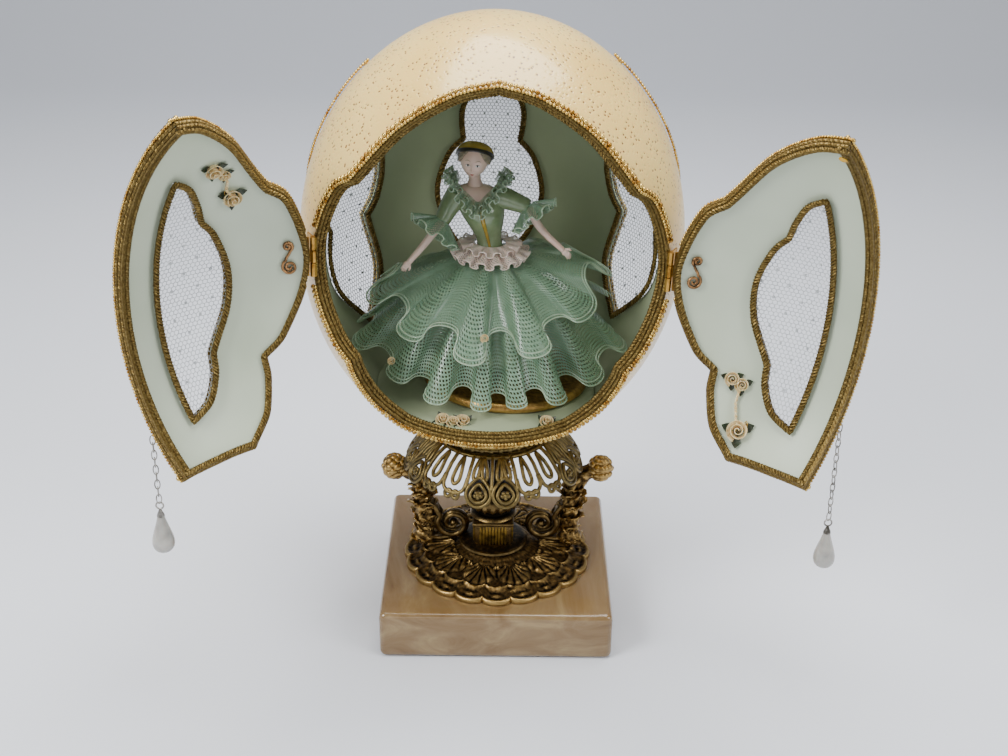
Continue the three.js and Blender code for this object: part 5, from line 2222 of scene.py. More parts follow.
@dataclass
class Arm:
    """A glazed sleeve to the elbow, a bare forearm and a small hand."""

    side: Side
    line: tuple[tuple[float, float, float], ...]
    sleeve: tuple[float, ...] = (4.4, 3.7, 2.7)
    bare: tuple[float, ...] = (1.6, 1.35, 0.95)
    flounce: tuple[float, float] = (2.6, 8)

    def build(self) -> list[bpy.types.Object]:
        """Makes the arm's parts.

        Returns:
            The sleeve, the bare arm and the hand.
        """
        sleeve = smooth_line(self.line[:3])
        radii = [
            float(np.interp(i / (len(sleeve) - 1) * 2, range(3), self.sleeve)) for i in range(len(sleeve))
        ]
        radii[0] *= 0.6
        upper = Bench.dress(Bench.tubes("sleeve", [sleeve], radii, 20), Finishes.BODICE)
        bare = smooth_line(self.line[2:])
        radii = [float(np.interp(i / (len(bare) - 1) * 2, range(3), self.bare)) for i in range(len(bare))]
        lower = Bench.dress(Bench.tubes("forearm", [bare], radii, 16), Finishes.SKIN)
        along = (bare[-1] - bare[-3]).normalized()
        across = Vector((0, -1, 0)).cross(along).normalized()
        lines = []
        for k, spread in enumerate((-0.9, -0.3, 0.3, 0.9)):
            root = bare[-1] + across * spread * 0.55 + along * 0.4
            reach = 3.1 - 0.45 * abs(k - 1.4)
            lines.append(
                [
                    root,
                    root + along * reach * 0.55 + across * spread * 0.25,
                    root + along * reach * 0.95 + across * spread * 0.4 + Vector((0, 0.35, -0.6))
                ]
            )
        thumb = bare[-1] + across * 0.8
        lines.append([thumb, thumb + along * 1.0 + across * 0.9, thumb + along * 1.9 + across * 1.1])
        fingers = Bench.dress(Bench.tubes("fingers", lines, [0.5, 0.44, 0.3], 8), Finishes.SKIN)
        palm = Bench.primitive(
            "palm", "uv_sphere", stretch=(1.35, 0.8, 1.35), segments=16, ring_count=12, radius=1,
            location=tuple(bare[-1] + along * 0.7)
        )
        Bench.dress(palm, Finishes.SKIN)
        made = [upper, lower, fingers, palm]
        for piece in made:
            Bench.smooth(piece, 180)
        return made

    def frill(self) -> bpy.types.Object:
        """The lace flounce that falls from the elbow.

        Returns:
            The flounce.
        """
        start, end = Vector(self.line[2]), Vector(self.line[4])
        axis = (end - start).normalized()
        u = Vector((0, 1, 0)).cross(axis).normalized()
        v = axis.cross(u)
        line, out = [], []
        for k in range(10):
            way = u * math.cos(TURN * k / 10) + v * math.sin(TURN * k / 10)
            line.append(tuple(start + way * self.flounce[0] - axis * 0.5))
            out.append(tuple(way * 0.85 + axis * 0.55 + Vector((0, -0.12, -0.1))))
        return Frill(
            f"lace_flounce_{self.side.label}", tuple(line), tuple(out), self.flounce[1], 8, 1.5,
            finish=Finishes.LACE
        ).build()


@dataclass
class Lady:
    """The porcelain lady in her lace dress, on an oval foot."""

    head: Head = field(default_factory=Head)
    arms: tuple[Arm, ...] = (
        Arm(
            Side.LEFT,
            ((-12.4, 4.4, 13.8), (-15.6, 3.2, 8.8), (-18, 1.4, 3.8), (-24, -1.5, -4), (-29.5, -4, -10.5)),
            flounce=(2.6, 9.2)
        ),
        Arm(
            Side.RIGHT,
            ((-0.6, 4.4, 13.8), (6, 3, 12.2), (12.3, 1.5, 10.5), (17.2, -0.5, 3.2), (25.5, -3.5, -3.5))
        ),
    )
    tiers: tuple[Tier, ...] = (
        Tier(
            "lace_skirt_upper", "skirt_upper", (0, 4.6, -8.6, 7.2),
            (
                (0, 29.5, -33.5), (36, 35, -28.5), (90, 40, -12.5), (135, 33, -14), (180, 30, -19),
                (225, 34, -21), (270, 41, -21), (321, 36.5, -29)
            ),
            (-112, -80, -48, -11, 28, 63, 97, 130, 158, 188, 218), 4.8, 3.6, 3.6
        ),
        Tier(
            "lace_skirt_lower", "skirt_lower", (0.4, 4.6, -11.2, 8.9),
            (
                (0, 31, -53), (42, 37.5, -50), (90, 48.5, -41.5), (135, 43.5, -43), (180, 36, -46),
                (225, 42, -41), (270, 48, -40), (318, 36.5, -50)
            ),
            (-104, -80, -56, -30, -3, 18, 40, 63, 88, 112, 138, 164, 190, 214, 236), 3.8, 2.2, 2.6, mesh=1.2
        ),
        Tier(
            "lace_overskirt", "overskirt", (0, 4.6, -10.1, 8.3),
            ((95, 46, -27), (135, 44, -29), (180, 40, -32), (225, 44, -29), (262, 43, -26)),
            (80, 112, 150, 182, 214, 246, 280), 1.8, 1.4, 3, open=True
        ),
    )

    def build(self) -> None:
        """Makes the lady and what she wears."""
        frame = EGG.frame()
        Bench.place(self.body(), frame, "case", "bisque", ["figurine_body"])
        Bench.place(self.head.cap(), frame, "case", "cap_gold", ["figurine_cap"])
        Bench.place(self.ruff(), frame, "case", "lace", ["figurine_ruff"])
        for arm in self.arms:
            Bench.place(arm.frill(), frame, "case", "lace", [f"sleeve_{arm.side.label}"])
        Bench.place(self.waist(), frame, "case", "bisque", ["waist_ruffle"])
        for tier in self.tiers:
            made = tier.build()
            if tier.node == "skirt_upper":
                made = Bench.join(
                    tier.name,
                    [
                        made,
                        Rose(1.3).build("skirt_rose", Vector((-1.2, -25.4, -28.6)), Vector((0, -1, 0.45)))
                    ]
                )
            if tier.node == "skirt_lower":
                made = Bench.join(
                    tier.name,
                    [
                        made,
                        Rose(1.3).build(
                            "skirt_rose", Vector((-33.6, -20.2, -41.5)), Vector((-0.3, -1, 0.5))
                        )
                    ]
                )
            Bench.place(made, frame, "case", "lace", [tier.node])
        rim = Bench.lathe(
            "figurine_foot",
            [
                (0, -55.4), (28.6, -55.4), (29.6, -55.7), (30.2, -56.6), (30.7, -57.4), (30.7, -58),
                (30.1, -58.7), (0, -58.7)
            ],
            96
        )
        rim.data.transform(Matrix.Translation((7.3, 5.2, 0)) @ Matrix.Diagonal((1, 0.97, 1, 1)))
        Bench.place(Bench.dress(rim, Finishes.PLINTH), frame, "case", "gilt", ["plinth"])

    def body(self) -> bpy.types.Object:
        """Head, neck, bodice, arms and the cone under the skirts.

        Returns:
            The body as one object.
        """
        bodice = ovals(
            "bodice",
            [
                (0.2, 4.6, -10, 7, 6.2), (-0.4, 4.6, -7, 5.4, 5), (-0.9, 4.5, -4.6, 4.3, 4),
                (-1.6, 4.4, -1.6, 4.7, 4.4), (-2.5, 4.2, 2, 6.1, 5.3), (-3.5, 3.8, 5.6, 7.6, 6.6),
                (-4.4, 3.8, 8.8, 8.3, 6.8), (-5.2, 4.2, 11.8, 8.3, 5.7), (-5.9, 4.5, 14.4, 8.8, 4.7),
                (-6.4, 4.6, 16.2, 6.4, 3.7), (-6.7, 4.6, 17.2, 3, 2.2)
            ],
            24
        )
        Bench.dress(bodice, Finishes.BODICE, Finishes.SKIN)
        for polygon in bodice.data.polygons:
            c = polygon.center
            middle = -0.9 - (c.z + 4.6) * 0.27
            polygon.material_index = 1 if c.z > 12.2 and abs(c.x - middle) < (
                c.z - 11.2
            ) * 1.5 and c.y < 6 else 0
        cone = ovals(
            "underskirt",
            [(7, 5.2, -55, 17, 15), (5, 5, -38, 14, 12), (2, 4.8, -20, 10, 9), (0.3, 4.6, -9, 6.4, 5.6)], 24
        )
        Bench.dress(cone, Finishes.BODICE)
        stripe = Bench.tubes(
            "placket",
            [
                [
                    Vector(
                        (
                            -5.1 + 0.26 * (12 - z),
                            float(
                                np.interp(
                                    z, (-5, -1.6, 2, 5.6, 8.8, 12), (0.55, -0.05, -1.1, -2.75, -2.95, -1.4)
                                )
                            ),
                            z
                        )
                    )
                    for z in np.linspace(11.6, -5, 18)
                ]
            ],
            [0.95 - 0.03 * i for i in range(18)], 10
        )
        Bench.dress(stripe, Finishes.CAP)
        Bench.smooth(stripe, 180)
        pieces = [bodice, cone, stripe, self.head.skull(), self.head.hair(), *self.head.face()]
        for arm in self.arms:
            pieces += arm.build()
        return Bench.join("porcelain_lady", pieces)

    def ruff(self) -> bpy.types.Object:
        """Lace frills that stand at both shoulders and run down to the point of the neckline.

        Returns:
            The ruff as one object.
        """
        line = (
            (-12.6, 8.2, 17), (-14, 4.8, 16.2), (-11.8, 0.9, 15.6), (-8.8, -1.4, 14), (-5.4, -2.6, 12),
            (-2.6, -1.5, 14.2), (0.2, 0.9, 16), (2.4, 4.8, 16.8), (0.8, 8.2, 17.4)
        )
        out = (
            (-0.5, 0.3, 0.9), (-0.7, -0.1, 0.85), (-0.6, -0.6, 0.55), (-0.4, -1, -0.2), (0, -1, -0.6),
            (0.3, -1, -0.2), (0.55, -0.6, 0.55), (0.7, -0.1, 0.85), (0.5, 0.3, 0.9)
        )
        outer = Frill("outer", line, out, 5.6, 15, 1.5, closed=False).build()
        inner_line = tuple((x * 0.86 - 0.9, y * 0.85 + 0.5, z + 0.8) for x, y, z in line)
        inner = Frill("inner", inner_line, out, 3.4, 12, 1.05, closed=False, mesh=0.5).build()
        return Bench.join("lace_ruff", [outer, inner])

    def waist(self) -> bpy.types.Object:
        """The blush frill round the waist.

        Returns:
            The frill.
        """
        line, out = [], []
        for k in range(12):
            angle = TURN * k / 12
            way = Vector((math.sin(angle), -math.cos(angle), 0))
            line.append(tuple(Vector((-0.6, 4.6, -4.4)) + way * 5.6))
            out.append(tuple(way + Vector((0, 0, -0.52))))
        outer = Frill("outer", tuple(line), tuple(out), 9.2, 15, 1.7, finish=Finishes.BLUSH).build()
        out = [tuple(Vector(o) + Vector((0, 0, 0.35))) for o in out]
        inner = Frill(
            "inner", tuple(line), tuple(out), 5.4, 13, 1.1, finish=Finishes.BLUSH, mesh=0.5
        ).build()
        return Bench.join("waist_frill", [outer, inner])


@dataclass
class Rose:
    """A rose wound from narrow ribbon, with pointed dark leaves under it."""

    radius: float
    leaves: int = 0
    turns: float = 2.7

    def build(self, name: str, centre: Vector, towards: Vector) -> bpy.types.Object:
        """Winds the ribbon.

        Args:
            name: the piece's name.
            centre: where the rose's foot is.
            towards: where the rose faces.

        Returns:
            The rose, in the frame of its centre.
        """
        points: list[Vector] = []
        steps, rows = int(self.turns * 22), 4
        for i in range(steps + 1):
            share = i / steps
            angle = TURN * self.turns * share
            r = self.radius * (0.1 + 0.78 * share)
            wave = 1 + 0.1 * math.sin(angle * 2.6) * share
            for k in range(rows + 1):
                v = k / rows
                lean = 0.42 * self.radius * v ** 2 * share
                height = self.radius * (1.25 - 0.72 * share ** 1.5) * v * wave
                points.append(Vector(((r + lean) * math.cos(angle), (r + lean) * math.sin(angle), height)))
        faces = [
            (
                i * (rows + 1) + k, (i + 1) * (rows + 1) + k, (i + 1) * (rows + 1) + k + 1,
                i * (rows + 1) + k + 1
            )
            for i in range(steps)
            for k in range(rows)
        ]
        bloom = Bench.mesh("bloom", points, faces)
        Bench.modify(bloom, "SOLIDIFY", thickness=0.16 * self.radius / 2, offset=0)
        pieces = [Bench.dress(bloom, Finishes.ROSE)]
        for k in range(self.leaves):
            pieces.append(self._leaf(TURN * (k + 0.15 * (k % 2)) / self.leaves + 0.5))
        made = Bench.join(name, pieces)
        Bench.smooth(made, 60)
        turn = towards.normalized().to_track_quat("Z", "Y").to_matrix().to_4x4()
        made.data.transform(Matrix.Translation(centre) @ turn)
        return made

    def _leaf(self, angle: float) -> bpy.types.Object:
        """One folded, pointed leaf.

        Args:
            angle: the way it points, in radians.

        Returns:
            The leaf.
        """
        r = self.radius
        rows = (
            (0.35, 0.0, 0.04), (0.8, 0.42, 0.02), (1.15, 0.55, 0.0), (1.5, 0.34, 0.1), (1.85, 0.02, 0.3)
        )
        points = []
        for along, wide, up in rows:
            points += [
                Vector((along * r, -wide * r, (up + 0.12) * r)), Vector((along * r, 0, up * r)),
                Vector((along * r, wide * r, (up + 0.12) * r))
            ]
        faces = [
            (3 * i + k, 3 * i + k + 1, 3 * i + k + 4, 3 * i + k + 3) for i in range(4) for k in range(2)
        ]
        made = Bench.mesh("leaf", points, faces)
        Bench.modify(made, "SOLIDIFY", thickness=0.07 * r, offset=0)
        made.data.transform(Matrix.Rotation(angle, 4, "Z"))
        return Bench.dress(made, Finishes.LEAF)


@dataclass
class Interior:
    """The case's floor and the ribbon roses on it."""

    top: float = -59.1
    left: tuple[tuple[float, float, float], ...] = (
        (-14.6, -31.4, 2.2), (-11.2, -32.6, 2.0), (-7.8, -32, 2.3)
    )
    right: tuple[float, float, float] = (22, -29.8, 2.2)

    def build(self) -> None:
        """Makes the floor and its roses."""
        frame = EGG.frame()
        disc = Bench.lathe(
            "case_floor",
            [
                (0, self.top), (39.2, self.top), (40.3, self.top - 0.25), (40.3, self.top - 0.7),
                (38.4, self.top - 2), (0, self.top - 2)
            ],
            96
        )
        # The floor gets the darker lining copy, whose colour is painted shade.
        Bench.place(Bench.dress(disc, Finishes.SHADE_LINING), frame, "case", "satin", ["floor"])
        blooms = [
            Rose(r, 4).build("rose", Vector((x, y, self.top + 0.35)), Vector((0.15 * (k - 1), -0.5, 1)))
            for k, (x, y, r) in enumerate(self.left)
        ]
        Bench.place(Bench.join("floor_roses", blooms), frame, "case", "ribbon", ["floor_roses_left"])
        x, y, r = self.right
        rose = Rose(r, 4).build("floor_rose", Vector((x, y, self.top + 0.35)), Vector((0.1, -0.5, 1)))
        Bench.place(rose, frame, "case", "ribbon", ["floor_rose_right"])


@dataclass
class Spray:
    """Two or three ribbon roses glued inside a door, linked by a twisted cord."""

    side: Side
    buds: tuple[tuple[float, float, float], ...]
    wire: tuple[Flat, ...]

    def build(self, extra: Sequence[bpy.types.Object] = ()) -> None:
        """Makes the spray on its door.

        Args:
            extra: what else is glued on the door there.
        """
        depth = 2.45
        blooms = []
        for azimuth, z, r in self.buds:
            p = EGG.inner(self.side, azimuth, z, depth)
            blooms.append(Rose(r * 1.05, 3).build("rose", p, -EGG.normal(p)))
        line = [EGG.inner(self.side, azimuth, z, 3.4) for azimuth, z in self.wire]
        fine = [
            line[i].lerp(line[i + 1], t)
            for i in range(len(line) - 1)
            for t in np.linspace(0, 1, 14, endpoint=False)
        ]
        lines = []
        for phase in (0, math.pi):
            strand = []
            for i, p in enumerate(fine):
                out = EGG.normal(p)
                across = Vector((0, 0, 1)).cross(out)
                angle = i * 0.9 + phase
                strand.append(p + out * 0.3 * math.cos(angle) + across * 0.3 * math.sin(angle))
            lines.append(strand)
        cord = Bench.dress(Bench.tubes("cord", lines, 0.3, 6), Finishes.ROSE)
        azimuth, z, r = self.buds[-1]
        loop = []
        for k in range(15):
            angle = TURN * k / 15
            loop.append(
                EGG.inner(
                    self.side,
                    azimuth - (r + 0.6 * math.cos(angle)) / 1.18, z + r * 0.75 + 1.1 * math.sin(angle), 3.1
                )
            )
        ring = Bench.dress(Bench.tubes("loop", [loop], 0.2, 6, closed=True), Finishes.BEADS)
        for piece in (cord, ring):
            Bench.smooth(piece, 180)
        made = Bench.join(f"door_roses_{self.side.label}_ribbon", [*blooms, cord, ring, *extra])
        Bench.place(
            made, EGG.door(self.side), f"door_{self.side.label}", "ribbon",
            [f"door_roses_{self.side.label}"]
        )


@dataclass
class Drop:
    """A fine chain and the teardrop pearl that hangs from it, plumb from its first link."""

    side: Side
    at: tuple[float, float, float]
    ring: float
    pearl_radius: float = 3.9
    pearl_length: float = 16.2
    link: Flat = (1.75, 0.85)
    wire: float = 0.2

    def build(self) -> None:
        """Makes the chain's links one after another and the pearl under them."""
        frame, label = Matrix.Translation(self.at) @ Matrix.Scale(MM, 4), self.side.label
        long, wide = self.link
        pitch = 2 * long - 3.2 * self.wire
        count = int((-self.ring - 2.6) / pitch + 0.5)
        pitch = (-self.ring - 2.6) / count
        places = []
        for i in range(count):
            turn = Matrix.Rotation(math.radians(20 + 90 * (i % 2)), 4, "Z")
            places.append(Matrix.Translation((0, 0, -pitch * (i + 0.5))) @ turn)
        oval = [
            Vector((wide * math.cos(TURN * k / 28), 0, long * 1.03 * math.sin(TURN * k / 28)))
            for k in range(28)
        ]
        model = Bench.dress(Bench.tubes("link", [oval], self.wire, 7, closed=True), Finishes.CHAIN)
        chain = Bench.stamp("links", model, places)
        eye = [
            Vector((1.25 * math.cos(TURN * k / 32), 0, self.ring + 1.4 + 1.25 * math.sin(TURN * k / 32)))
            for k in range(32)
        ]
        jump = Bench.dress(Bench.tubes("jump_ring", [eye], 0.28, 8, closed=True), Finishes.CHAIN)
        top = self.ring - 0.3
        for piece in (chain, jump):
            Bench.smooth(piece, 180)
        Bench.place(
            Bench.join(f"chain_{label}", [chain, jump]), frame, f"drop_{label}", "silver",
            [f"drop_chain_{label}"]
        )
        r, h = self.pearl_radius, self.pearl_length
        shape = [
            (0, 0.05), (0.13, 0.07), (0.27, 0.12), (0.36, 0.2), (0.5, 0.32), (0.66, 0.44), (0.82, 0.56),
            (0.94, 0.67), (1, 0.77), (0.95, 0.86), (0.78, 0.94), (0.45, 0.99), (0, 1)
        ]
        pearl = Bench.lathe(f"pearl_{label}", [(a * r, top - b * h) for a, b in shape], 40)
        Bench.modify(pearl, "SUBSURF", levels=1, render_levels=1)
        Bench.smooth(pearl, 180)
        cup = Bench.lathe(
            "cup",
            [
                (0, top + 0.25), (0.45, top + 0.2), (0.7, top - 0.5), (1.25, top - 1.7), (1.35, top - 2.3),
                (1.1, top - 2.3), (0, top - 1.2)
            ],
            24
        )
        made = Bench.join(
            f"pearl_{label}", [Bench.dress(pearl, Finishes.PEARL), Bench.dress(cup, Finishes.CHAIN)]
        )
        Bench.place(made, frame, f"drop_{label}", "pearl", [f"drop_pearl_{label}"])


@dataclass
class Base:
    """The marble block and the scalloped foot cast in relief."""

    side: float = 86.8
    height: float = 19.35
    round: float = 2.4
    foot: float = 36.4
    lobes: int = 20
    centre: Flat = (0.1, -1)

    def build(self) -> None:
        """Makes the block and the foot."""
        block = Bench.primitive(
            "marble_block", "cube", stretch=(self.side, self.side, self.height), size=1,
            location=(0, 0, self.height / 2)
        )
        Bench.modify(block, "BEVEL", width=self.round, segments=5)
        Bench.smooth(block, 60)
        metres = Matrix.Scale(MM, 4)
        Bench.place(Bench.dress(block, Finishes.MARBLE), metres, "case", "marble", ["marble_base"])
        Bench.place(self.plate(), metres, "case", "gilt", ["foot_plate"])

    def edge(self, angle: float) -> float:
        """The plate's radius at an angle: scallops that meet in notches.

        Args:
            angle: the way round, in radians.

        Returns:
            The radius.
        """
        return self.foot - 1.9 + 1.9 * abs(math.cos(angle * self.lobes / 2)) ** 0.55

    def relief(self, angle: float, r: float) -> float:
        """The height of the plate's top.

        Args:
            angle: the way round, in radians.
            r: the distance from the middle.

        Returns:
            The height.
        """
        edge = self.edge(angle)
        base = float(
            np.interp(r, (0, 13.4, 14.4, 18, 30, 34, 36.4), (25, 25, 24.3, 22.8, 22.2, 21.3, 20.5))
        )
        rim = math.exp(-((r - edge + 0.75) / 0.62) ** 2)
        cell = (angle * self.lobes / TURN + 0.5) % 1 - 0.5
        bowl = math.exp(-((r - edge + 4) / 1.9) ** 4 - (cell / 0.33) ** 4)
        boss = math.exp(-((r - edge + 4) / 0.9) ** 2 - (cell / 0.2) ** 2)
        ring = math.exp(-((r - edge + 7.2) / 0.5) ** 2)
        fan_cell = (angle * (self.lobes / 2) / TURN + 0.5) % 1 - 0.5
        reach = math.hypot(fan_cell * 1.9, (r - 17.5) / 10.8)
        ribs = abs(math.cos(9 * math.atan2(fan_cell * 2.4, (r - 14.5) / 10)))
        fan = (0.35 + 0.95 * ribs) / (1 + math.exp((reach - 0.95) * 26)) if 17 < r else 0
        curls = 0.7 * max(
            0, noise.noise(Vector((r * math.cos(angle), r * math.sin(angle), 0)) * 0.32)
        ) if 15 < r < 31 else 0
        pits = 0.22 * noise.noise(
            Vector((r * math.cos(angle), r * math.sin(angle), 3)) * 1.1
        ) if r < edge - 1.5 else 0
        return base + 0.75 * rim - 0.8 * bowl + 0.95 * boss + 0.7 * ring + fan * 0.95 + curls + pits

    def plate(self) -> bpy.types.Object:
        """The foot, a dense round grid raised into its relief.

        Returns:
            The foot plate.
        """
        around, rows = 480, 64
        cx, cy = self.centre
        points, floor = [], self.height + 0.3
        shares = [i / rows for i in range(1, rows + 1)]
        for share in shares:
            for k in range(around):
                angle = TURN * k / around - math.pi / 2
                r = share * self.edge(angle)
                points.append((cx + r * math.cos(angle), cy + r * math.sin(angle), self.relief(angle, r)))
        for k in range(around):
            angle = TURN * k / around - math.pi / 2
            r = self.edge(angle)
            points.append((cx + r * math.cos(angle), cy + r * math.sin(angle), floor))
        points += [(cx, cy, 25.0), (cx, cy, floor)]
        faces: list[tuple[int, ...]] = []
        for i in range(rows):
            for k in range(around):
                a, b = i * around + k, i * around + (k + 1) % around
                faces.append((a, b, b + around, a + around))
        last = rows * around
        faces += [(k, (k + 1) % around, last + around) for k in range(around)]
        faces += [(last + (k + 1) % around, last + k, last + around + 1) for k in range(around)]
        made = Bench.mesh("foot_casting", points, faces)
        Bench.outward(made)
        Bench.smooth(made, 55)
        return Bench.dress(made, Finishes.CASTING)


@dataclass
class Urn:
    """The dark baluster in the middle, with a square pedestal whose sides carry gilt ribbed plaques."""

    centre: Flat = (-1.5, 0)

    def build(self) -> None:
        """Makes the urn."""
        cx, cy = self.centre
        foot = Bench.lathe(
            "foot",
            [(0, 25.3), (13, 25.3), (13.4, 25.7), (13.1, 26.4), (11.6, 26.7), (10.6, 27.3), (0, 27.3)], 64,
            self.centre
        )
        block = Bench.primitive("block", "cube", stretch=(14.2, 14.2, 9), size=1, location=(cx, cy, 31.4))
        Bench.modify(block, "BEVEL", width=0.8, segments=3)
        cap = Bench.primitive("cap", "cube", stretch=(16, 16, 1.3), size=1, location=(cx, cy, 36.1))
        Bench.modify(cap, "BEVEL", width=0.5, segments=3)
        bowl = Bench.lathe(
            "bowl",
            [
                (0, 36), (6.6, 36.2), (8.4, 37), (9, 37.9), (8.4, 38.8), (6.8, 39.4), (6.4, 40.2),
                (8, 41.4), (9.8, 43), (10.6, 45), (10.4, 46.6), (9.2, 47.8), (8, 48.4), (8.4, 49.2),
                (7.6, 50), (5, 50.9), (3.9, 52.6), (3.4, 56), (3.6, 60), (4.6, 64), (6.4, 67.4),
                (9.4, 70.2), (13.4, 71.9), (15.8, 72.5), (16.1, 73), (15.6, 73.3), (12.4, 73.3), (12.4, 74),
                (0, 74)
            ],
            64, self.centre
        )
        pieces = [Bench.dress(p, Finishes.DARK_CASTING) for p in (foot, block, cap, bowl)]
        ribs = []
        for side in range(4):
            turn = Matrix.Rotation(TURN * side / 4, 4, "Z")
            for k in range(9):
                x = -4.8 + 1.2 * k
                rib = Bench.primitive(
                    "rib", "uv_sphere", stretch=(0.66, 0.6, 4.4), segments=10, ring_count=8, radius=1,
                    location=(x, -7.3, 30.9)
                )
                rib.data.transform(Matrix.Translation((cx, cy, 0)) @ turn)
                ribs.append(rib)
        ribs = [Bench.dress(Bench.join("ribs", ribs), Finishes.PLAQUE)]
        gadroons = []
        for k in range(20):
            lobe = Bench.primitive(
                "lobe", "uv_sphere", stretch=(1.2, 0.85, 2.2), segments=10, ring_count=8, radius=1,
                location=(0, -9.9, 44.6)
            )
            lobe.data.transform(Matrix.Translation((cx, cy, 0)) @ Matrix.Rotation(TURN * k / 20, 4, "Z"))
            gadroons.append(lobe)
        gadroons = [Bench.dress(Bench.join("gadroons", gadroons), Finishes.DARK_CASTING)]
        for piece in (*ribs, *gadroons, block, cap):
            Bench.smooth(piece, 50)
        Bench.place(
            Bench.join("urn_casting", [*pieces, *ribs, *gadroons]), Matrix.Scale(MM, 4), "case",
            "dark_brass", ["urn"]
        )


@dataclass
class Column:
    """A leafy scroll column, cast in one with the flower ball that stands out at its head."""

    node: str
    turn: float
    shift: float
    shaft: tuple[tuple[float, float, float], ...] = (
        (28.6, 24.4, 5.6), (28.6, 26.2, 5.4), (28.2, 29, 3.9), (28.4, 33, 4.4), (28.6, 38, 4.7),
        (28.8, 43, 4.2), (29.8, 48, 4.0), (32.4, 52.6, 3.9), (36.8, 55.4, 3.7)
    )
    ball: tuple[float, float] = (39.6, 56.2)

    def build(self) -> None:
        """Casts the column."""
        line = [Vector((x, 0, z)) for x, z, _ in self.shaft]
        smooth = smooth_line(line, 7)
        count = len(smooth)
        radii = [
            float(
                np.interp(
                    i / (count - 1) * (len(self.shaft) - 1), range(len(self.shaft)),
                    [s[2] for s in self.shaft]
                )
            ) * 0.8
            for i in range(count)
        ]
        trunk = Bench.tubes("trunk", [smooth], radii, 40)
        for vertex in trunk.data.vertices:
            c = vertex.co
            nearest = min(smooth, key=lambda p: (p - c).length_squared)
            away = c - nearest
            if away.length > 0.5:
                vertex.co = c + away.normalized() * (
                    0.9 * noise.noise(c * 0.45) + 0.5 * noise.noise(c * 1.1)
                )
        pieces = [Bench.dress(trunk, Finishes.CASTING)]
        places = []
        for level, size, count, lean in (
            (25.6, 0.95, 6, 30), (29.6, 0.95, 6, 16), (34, 1.0, 6, 20), (38.4, 0.95, 6, 16),
            (42.8, 0.85, 6, 20), (46.6, 0.75, 5, 22)
        ):
            radius = float(np.interp(level, [s[1] for s in self.shaft], [s[2] for s in self.shaft])) * 0.66
            x = float(np.interp(level, [s[1] for s in self.shaft], [s[0] for s in self.shaft]))
            for k in range(count):
                vary = math.sin(12.9 * k + 3.1 * level)
                spin = Matrix.Rotation(TURN * (k + 0.37 * level + 0.2 * vary) / count, 4, "Z")
                places.append(
                    Matrix.Translation((x, 0, level + 1.6 * vary))
                    @ spin
                    @ Matrix.Translation((radius, 0, 0))
                    @ Matrix.Rotation(math.radians(lean + 14 * vary), 4, "Y")
                    @ Matrix.Rotation(0.5 * vary, 4, "X")
                    @ Matrix.Scale(size * (1 + 0.18 * vary), 4)
                )
        pieces.append(Bench.stamp("leaves", Bench.dress(self._leaf(), Finishes.CASTING), places))
        pieces += self._scroll()
        pieces += self._flower()
        made = Bench.join(f"{self.node}_casting", pieces)
        Bench.smooth(made, 60)
        made.data.transform(
            Matrix.Translation((0, self.shift, 0)) @ Matrix.Rotation(math.radians(self.turn), 4, "Z")
        )
        Bench.place(made, Matrix.Scale(MM, 4), "case", "dark_brass", [self.node])

    def _leaf(self) -> bpy.types.Object:
        """One acanthus leaf, ribbed and lobed, that curls out at its tip.

        Returns:
            The leaf, at its root.
        """
        rows, columns = 12, 12
        points = []
        for i in range(rows + 1):
            u = i / rows
            wide = 2.5 * math.sin(math.pi * min(1, 0.18 + 0.82 * u)) ** 0.7 * (
                1 + 0.16 * math.cos(TURN * 3.5 * u)
            )
            for k in range(columns + 1):
                v = 2 * k / columns - 1
                rise = 6 * u - 1.6 * u ** 3
                out = 0.4 + 0.3 * u + 2.2 * u ** 3 - 0.7 * v * v + 0.28 * math.cos(TURN * 2 * v) - (
                    1.2 * max(0, u - 0.85) * 4
                )
                points.append(Vector((out, v * wide, rise - 1.5)))
        faces = [
            (
                i * (columns + 1) + k, i * (columns + 1) + k + 1, (i + 1) * (columns + 1) + k + 1,
                (i + 1) * (columns + 1) + k
            )
            for i in range(rows)
            for k in range(columns)
        ]
        made = Bench.mesh("leaf", points, faces)
        Bench.modify(made, "SOLIDIFY", thickness=0.45, offset=-1)
        return made

    def _scroll(self) -> list[bpy.types.Object]:
        """The ribbed C-scroll that curls towards the urn, and the arm that ties it to the trunk.

        Returns:
            The scroll and the arm.
        """
        lines = []
        steps = 46
        for offset, grow in ((-2.0, 0.86), (-0.7, 1), (0.7, 1), (2.0, 0.86)):
            line = []
            for i in range(steps + 1):
                t = i / steps
                angle = math.radians(-560 + 560 * t)
                r = (1.1 + 6.0 * t ** 0.8) * grow
                line.append(
                    Vector(
                        (
                            17.2 + r * math.cos(angle + 0.6), offset * (0.45 + 0.55 * t),
                            31.6 + r * math.sin(angle + 0.6)
                        )
                    )
                )
            lines.append(line + [Vector((24.2, offset, 39)), Vector((26.8, offset, 41))])
        radii = [0.6 + 0.5 * min(1, i / 20) for i in range(steps + 3)]
        band = Bench.tubes("scroll", lines, radii, 8)
        foot = Bench.tubes(
            "foot",
            [
                [
                    Vector((27, o, 25.4)), Vector((22.6, o, 24.6)), Vector((17, o, 25.6)),
                    Vector((13.6, o, 28))
                ]
                for o in (-1.5, 0, 1.5)
            ],
            [1.2, 1.1, 0.9, 0.5], 8
        )
        eye = Bench.primitive(
            "eye", "uv_sphere", stretch=(1.5, 2.6, 1.5), segments=16, ring_count=10, radius=1,
            location=(17.2, 0, 31.6)
        )
        return [Bench.dress(p, Finishes.DARK_CASTING) for p in (band, foot, eye)]

